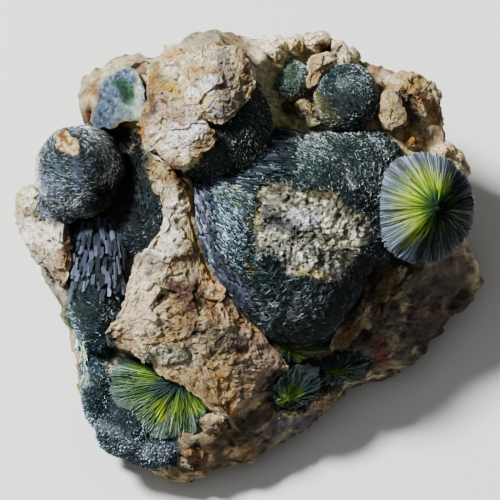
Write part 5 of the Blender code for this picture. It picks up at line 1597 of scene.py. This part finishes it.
def add_group(name, inputs, outputs):
    """An empty node group with named sockets, and its two end nodes."""
    group = bpy.data.node_groups.new(name, "ShaderNodeTree")
    for socket, value in inputs:
        made = group.interface.new_socket(name=socket, in_out="INPUT", socket_type="NodeSocketFloat")
        made.default_value = value
    for socket in outputs:
        group.interface.new_socket(name=socket, in_out="OUTPUT", socket_type="NodeSocketFloat")
    return group, group.nodes.new("NodeGroupInput"), group.nodes.new("NodeGroupOutput")


# How much finer the grain's second noise is, and the values of the two multiplied between which
# Shade runs.
GRAIN_STEP, GRAIN_LOW, GRAIN_HIGH = 3.7, 0.1, 0.42


def grain_group():
    """Fine grain: two sizes of noise, multiplied. Shade, which lies within 1 - Depth and 1 + Depth,
    multiplies a colour, and Height is for a bump."""
    group, start, end = add_group("fine grain", [("Scale", 1000.0), ("Depth", 0.3)], ["Shade", "Height"])
    nodes, links = group.nodes, group.links
    place = nodes.new("ShaderNodeTexCoord")
    coarse, fine = nodes.new("ShaderNodeTexNoise"), nodes.new("ShaderNodeTexNoise")
    finer = nodes.new("ShaderNodeMath")
    finer.operation = "MULTIPLY"
    finer.inputs[1].default_value = GRAIN_STEP
    links.new(start.outputs["Scale"], coarse.inputs["Scale"])
    links.new(start.outputs["Scale"], finer.inputs[0])
    links.new(finer.outputs[0], fine.inputs["Scale"])
    for noise in (coarse, fine):
        noise.inputs["Detail"].default_value = 5.0
        noise.inputs["Roughness"].default_value = 0.65
        links.new(place.outputs["Object"], noise.inputs["Vector"])
    both = nodes.new("ShaderNodeMath")
    both.operation = "MULTIPLY"
    links.new(coarse.outputs["Fac"], both.inputs[0])
    links.new(fine.outputs["Fac"], both.inputs[1])
    low = nodes.new("ShaderNodeMath")
    low.operation = "SUBTRACT"
    low.inputs[0].default_value = 1.0
    links.new(start.outputs["Depth"], low.inputs[1])
    high = nodes.new("ShaderNodeMath")
    high.operation = "ADD"
    high.inputs[0].default_value = 1.0
    links.new(start.outputs["Depth"], high.inputs[1])
    spread = nodes.new("ShaderNodeMapRange")
    spread.inputs["From Min"].default_value = GRAIN_LOW
    spread.inputs["From Max"].default_value = GRAIN_HIGH
    links.new(both.outputs[0], spread.inputs["Value"])
    links.new(low.outputs[0], spread.inputs["To Min"])
    links.new(high.outputs[0], spread.inputs["To Max"])
    links.new(spread.outputs["Result"], end.inputs["Shade"])
    links.new(both.outputs[0], end.inputs["Height"])
    return group


# The finishes: the scale and depth of the grain, the strength and height of its bump, the
# roughness where there is no shine and where there is most, and the coat.
FINISHES = [
    ("broken rock", 3000.0, 0.62, 1.0, 0.0007, (0.95, 0.6), 0.0),
    ("crystal body", 6000.0, 0.6, 0.9, 0.0005, (0.7, 0.25), 0.1),
    ("crystal faces", 9000.0, 0.2, 0.2, 0.0004, (0.5, 0.16), 0.2),
]


def tinted_material(name, grain, scale, depth, bump, rise, rough, coat):
    """A finish whose colour and shine the mesh holds, under fine grain. Shine leads the roughness
    from the first to the second value of rough, and the coat's weight is 1.5 coat shine."""
    made = bpy.data.materials.new(name)
    made.use_nodes = True
    nodes, links = made.node_tree.nodes, made.node_tree.links
    shader = nodes["Principled BSDF"]
    tint, shine = nodes.new("ShaderNodeAttribute"), nodes.new("ShaderNodeAttribute")
    tint.attribute_name = "tint"
    shine.attribute_name = "shine"
    fine = nodes.new("ShaderNodeGroup")
    fine.node_tree = grain
    fine.inputs["Scale"].default_value = scale
    fine.inputs["Depth"].default_value = depth
    mix = nodes.new("ShaderNodeMix")
    mix.data_type = "RGBA"
    mix.blend_type = "MULTIPLY"
    mix.inputs["Factor"].default_value = 1.0
    links.new(tint.outputs["Color"], mix.inputs["A"])
    links.new(fine.outputs["Shade"], mix.inputs["B"])
    links.new(mix.outputs["Result"], shader.inputs["Base Color"])
    gloss = nodes.new("ShaderNodeMapRange")
    gloss.inputs["To Min"].default_value = rough[0]
    gloss.inputs["To Max"].default_value = rough[1]
    links.new(shine.outputs["Fac"], gloss.inputs["Value"])
    links.new(gloss.outputs["Result"], shader.inputs["Roughness"])
    lump = nodes.new("ShaderNodeBump")
    lump.inputs["Strength"].default_value = bump
    lump.inputs["Distance"].default_value = rise
    links.new(fine.outputs["Height"], lump.inputs["Height"])
    links.new(lump.outputs["Normal"], shader.inputs["Normal"])
    shader.inputs["IOR"].default_value = 1.53
    sheen = nodes.new("ShaderNodeMath")
    sheen.operation = "MULTIPLY"
    sheen.use_clamp = True
    sheen.inputs[1].default_value = 1.5 * coat
    links.new(shine.outputs["Fac"], sheen.inputs[0])
    links.new(sheen.outputs["Value"], shader.inputs["Coat Weight"])
    shader.inputs["Coat Roughness"].default_value = 0.2
    return made


def add_piece(name, shells, finish, nodes, smooth):
    """One mesh from closed shells, with its colour and shine, in place of CAD nodes. A shell is its
    corners, each with a place, a colour and a shine, and its triangles."""
    counts = np.cumsum([0] + [len(corners) for corners, _ in shells])
    corners = np.concatenate([corners for corners, _ in shells])
    triangles = np.concatenate([faces + first for (_, faces), first in zip(shells, counts)])
    mesh = bpy.data.meshes.new(name)
    mesh.vertices.add(len(corners))
    mesh.vertices.foreach_set("co", to_space(corners[:, :3]).astype(np.float32).ravel())
    mesh.loops.add(triangles.size)
    mesh.loops.foreach_set("vertex_index", triangles.astype(np.int32).ravel())
    mesh.polygons.add(len(triangles))
    mesh.polygons.foreach_set("loop_start", np.arange(0, triangles.size, 3, dtype=np.int32))
    mesh.update(calc_edges=True)
    colour = np.concatenate([np.clip(corners[:, 3:6], 0, 1), np.ones((len(corners), 1))], axis=1)
    tint = mesh.attributes.new("tint", "FLOAT_COLOR", "POINT")
    tint.data.foreach_set("color", colour.astype(np.float32).ravel())
    shine = mesh.attributes.new("shine", "FLOAT", "POINT")
    shine.data.foreach_set("value", corners[:, 6].astype(np.float32))
    mesh.materials.append(finish)
    if smooth:
        mesh.shade_smooth()
    else:
        mesh.shade_flat()
    piece = bpy.data.objects.new(name, mesh)
    bpy.context.scene.collection.objects.link(piece)
    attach(piece, "root")
    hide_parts(*nodes)


# The floor: half its width and how far it lies below the rock, both in metres, and its colour.
FLOOR_HALF, FLOOR_DROP, FLOOR_COLOUR = 4, 2e-5, (0.55, 0.55, 0.54, 1)

# The lights: the way to each from the specimen on the display face, its size in metres and its
# power in watts. Then their distance in metres, and the colour and strength of the light from
# all round.
LIGHTS = [("key", (-0.55, 0.54, 0.7), 0.12, 13.5), ("fill", (-0.1, 0.1, 1.0), 0.9, 1.6)]
LIGHT_DISTANCE = 0.7
SKY_COLOUR, SKY_STRENGTH = (0.9, 0.93, 1.0, 1), 0.115

# The place that the lights and the camera look at, and the photograph's width there.
AIM, PHOTO_WIDTH = np.array([0.0, 0.0, 4.0]), 50.0


def lay_floor():
    """A plain pale floor just below the rock."""
    floor = bpy.data.meshes.new("floor")
    corners = [(FLOOR_HALF * a, FLOOR_HALF * b, -FLOOR_DROP) for a, b in ((-1, -1), (1, -1), (1, 1), (-1, 1))]
    floor.from_pydata(corners, [], [(0, 1, 2, 3)])
    pale = bpy.data.materials.new("pale floor")
    pale.use_nodes = True
    shader = pale.node_tree.nodes["Principled BSDF"]
    shader.inputs["Base Color"].default_value = FLOOR_COLOUR
    shader.inputs["Roughness"].default_value = 0.9
    floor.materials.append(pale)
    ground = bpy.data.objects.new("floor", floor)
    bpy.context.scene.collection.objects.link(ground)


def light_scene():
    """A soft key light from the upper left of the display face, a weak fill and a faint sky."""
    middle = to_space(AIM)
    for name, place, size, power in LIGHTS:
        lamp = bpy.data.lights.new(name, "AREA")
        lamp.size = size
        lamp.energy = power
        made = bpy.data.objects.new(name, lamp)
        away = unit(np.array(place)) @ AXES
        made.location = middle + away * LIGHT_DISTANCE
        made.rotation_mode = "QUATERNION"
        made.rotation_quaternion = Vector(away).to_track_quat("Z", "Y")
        bpy.context.scene.collection.objects.link(made)
    world = bpy.data.worlds.new("studio")
    world.use_nodes = True
    sky = world.node_tree.nodes["Background"]
    sky.inputs["Color"].default_value = SKY_COLOUR
    sky.inputs["Strength"].default_value = SKY_STRENGTH
    bpy.context.scene.world = world
    bpy.context.scene.view_settings.look = "AgX - Medium High Contrast"


def add_camera():
    """A long lens square to the display face, so far off that its picture is PHOTO_WIDTH wide at
    AIM."""
    lens = bpy.data.cameras.new("camera")
    lens.lens = 800.0
    lens.sensor_width = 36.0
    lens.clip_start = 0.05
    lens.clip_end = 20.0
    made = bpy.data.objects.new("camera", lens)
    distance = PHOTO_WIDTH * lens.lens / lens.sensor_width
    made.location = to_space(AIM + (0.0, 0.0, distance))
    made.rotation_mode = "QUATERNION"
    made.rotation_quaternion = Vector(AXES[2]).to_track_quat("Z", "Y")
    bpy.context.scene.collection.objects.link(made)
    bpy.context.scene.camera = made


def build_rock(finish):
    """The host rock: its ground, and its raised blocks. The finest are pieces of their own, and the
    others and the seam are one. Blocks with a single peak are rounded."""
    ground, tint = rock_ground()
    shell = closed_grid(ground, tint, ROCK_SHINE)
    add_piece("rock_ground", [shell], finish, ["matrix_rock"], True)
    small = []
    for name, (rim, crown, foot) in ROCK_BLOCKS.items():
        if name in FINE_BLOCKS:
            grid, tint = rock_block(rim, crown, foot, *FINE_BLOCKS[name], False)
            shell = closed_grid(grid, tint, ROCK_SHINE)
            add_piece("rock_" + name, [shell], finish, ["matrix_rock"], False)
        else:
            around = sum(math.dist(a[:2], b[:2]) for a, b in zip(rim, rim[1:] + rim[:1]))
            columns = max(66, int(around / BLOCK_COLUMN))
            grid, tint = rock_block(rim, crown, foot, columns, columns // 5, len(crown) < 2)
            small.append(closed_grid(grid, tint, ROCK_SHINE))
    grid, tint = rock_seam()
    small.append(closed_grid(grid, tint, ROCK_SHINE))
    add_piece("rock_knuckles", small, finish, ["matrix_rock"], False)
    return ground


def build_great_spherule(under, glint):
    """The great spherule: its surface, its plates and its needles."""
    surface, tint = great_ground()
    shell = closed_grid(surface, tint, BODY_SHINE)
    add_piece("great_surface", [shell], under, ["great_spherule"], True)
    add_piece("great_plates", great_plates(), under, ["great_spherule"], False)
    add_piece("great_needles", great_needles(), glint, ["great_spherule"], False)


def build_spherules(under, glint):
    """The other spherules, each with its surface and its crystals, and the column's plates."""
    for number, (node, group) in enumerate(SPHERULES):
        bodies, crusts = [], []
        for part, (form, columns, *coat) in enumerate(group):
            bodies.append(closed_grid(*ball_surface(*form, columns), BODY_SHINE))
            crusts.append(druse_ball(*form, *coat, 50 + 7 * number + part))
        add_piece(node + "_surface", bodies, under, [node], True)
        add_piece(node + "_druse", crusts, glint, [node], False)
    add_piece("column_plates", [column_plates()], under, ["left_spherules"], False)


def build_fans(under, glint):
    """The lower fan with the buds round it, and the three small fans."""
    face, tint = split_face(*FAN, *FAN_GRID, fan_tone, 211)
    bodies, crusts = [closed_grid(face, tint, FACE_SHINE)], []
    for i, bud in enumerate(CORNER_BUDS):
        bodies.append(closed_grid(*ball_surface(*bud, BUD_COLUMNS), BODY_SHINE))
        crusts.append(druse_ball(*bud, *BUD_DRUSE, 90 + i))
    rays = split_rays(*FAN[:2], FAN_RAYS, fan_tone, 211)
    add_piece("fan_face", bodies, under, ["fan_spherule"], True)
    add_piece("fan_rays", [rays] + crusts, glint, ["fan_spherule"], False)
    for i, fan in enumerate(SMALL_FANS, 1):
        node, seed = f"small_fan_{i}", 220 + 10 * i
        face, tint = split_face(*fan, *SMALL_FAN_GRID, shadow_fan_tone, seed, ridges=0.045, ragged=0.1)
        rays = split_rays(*fan[:2], SMALL_FAN_RAYS, shadow_fan_tone, seed, ragged=0.12)
        shell = closed_grid(face, tint, FACE_SHINE)
        add_piece(node + "_face", [shell], under, [node], True)
        add_piece(node + "_rays", [rays], glint, [node], False)


def build_sunburst(under, glint):
    """The sunburst: its cone and its rays."""
    body, tint = sunburst_body()
    shell = closed_grid(body, tint, FACE_SHINE)
    add_piece("sunburst_body", [shell], under, ["sunburst_spherule"], True)
    add_piece("sunburst_rays", [sunburst_rays()], glint, ["sunburst_spherule"], False)


def build_mint_section(under):
    """The pale section."""
    face, tint = split_face(*MINT, *MINT_GRID, mint_tone, 261, ridges=0.03)
    shell = closed_grid(face, tint, MINT_SHINE)
    add_piece("mint_face", [shell], under, ["mint_spherule"], True)


def main():
    """Builds every piece, then the floor, the lights and the camera."""
    grain = grain_group()
    rock, under, glint = [tinted_material(name, grain, *values) for name, *values in FINISHES]
    ground = build_rock(rock)
    build_great_spherule(under, glint)
    build_spherules(under, glint)
    belts = [druse_belt(ground, *belt, 80 + i) for i, belt in enumerate(DRUSE_BELTS)]
    add_piece("rock_druse", belts, glint, ["fan_spherule"], False)
    build_fans(under, glint)
    build_sunburst(under, glint)
    build_mint_section(under)
    lay_floor()
    light_scene()
    add_camera()


main()
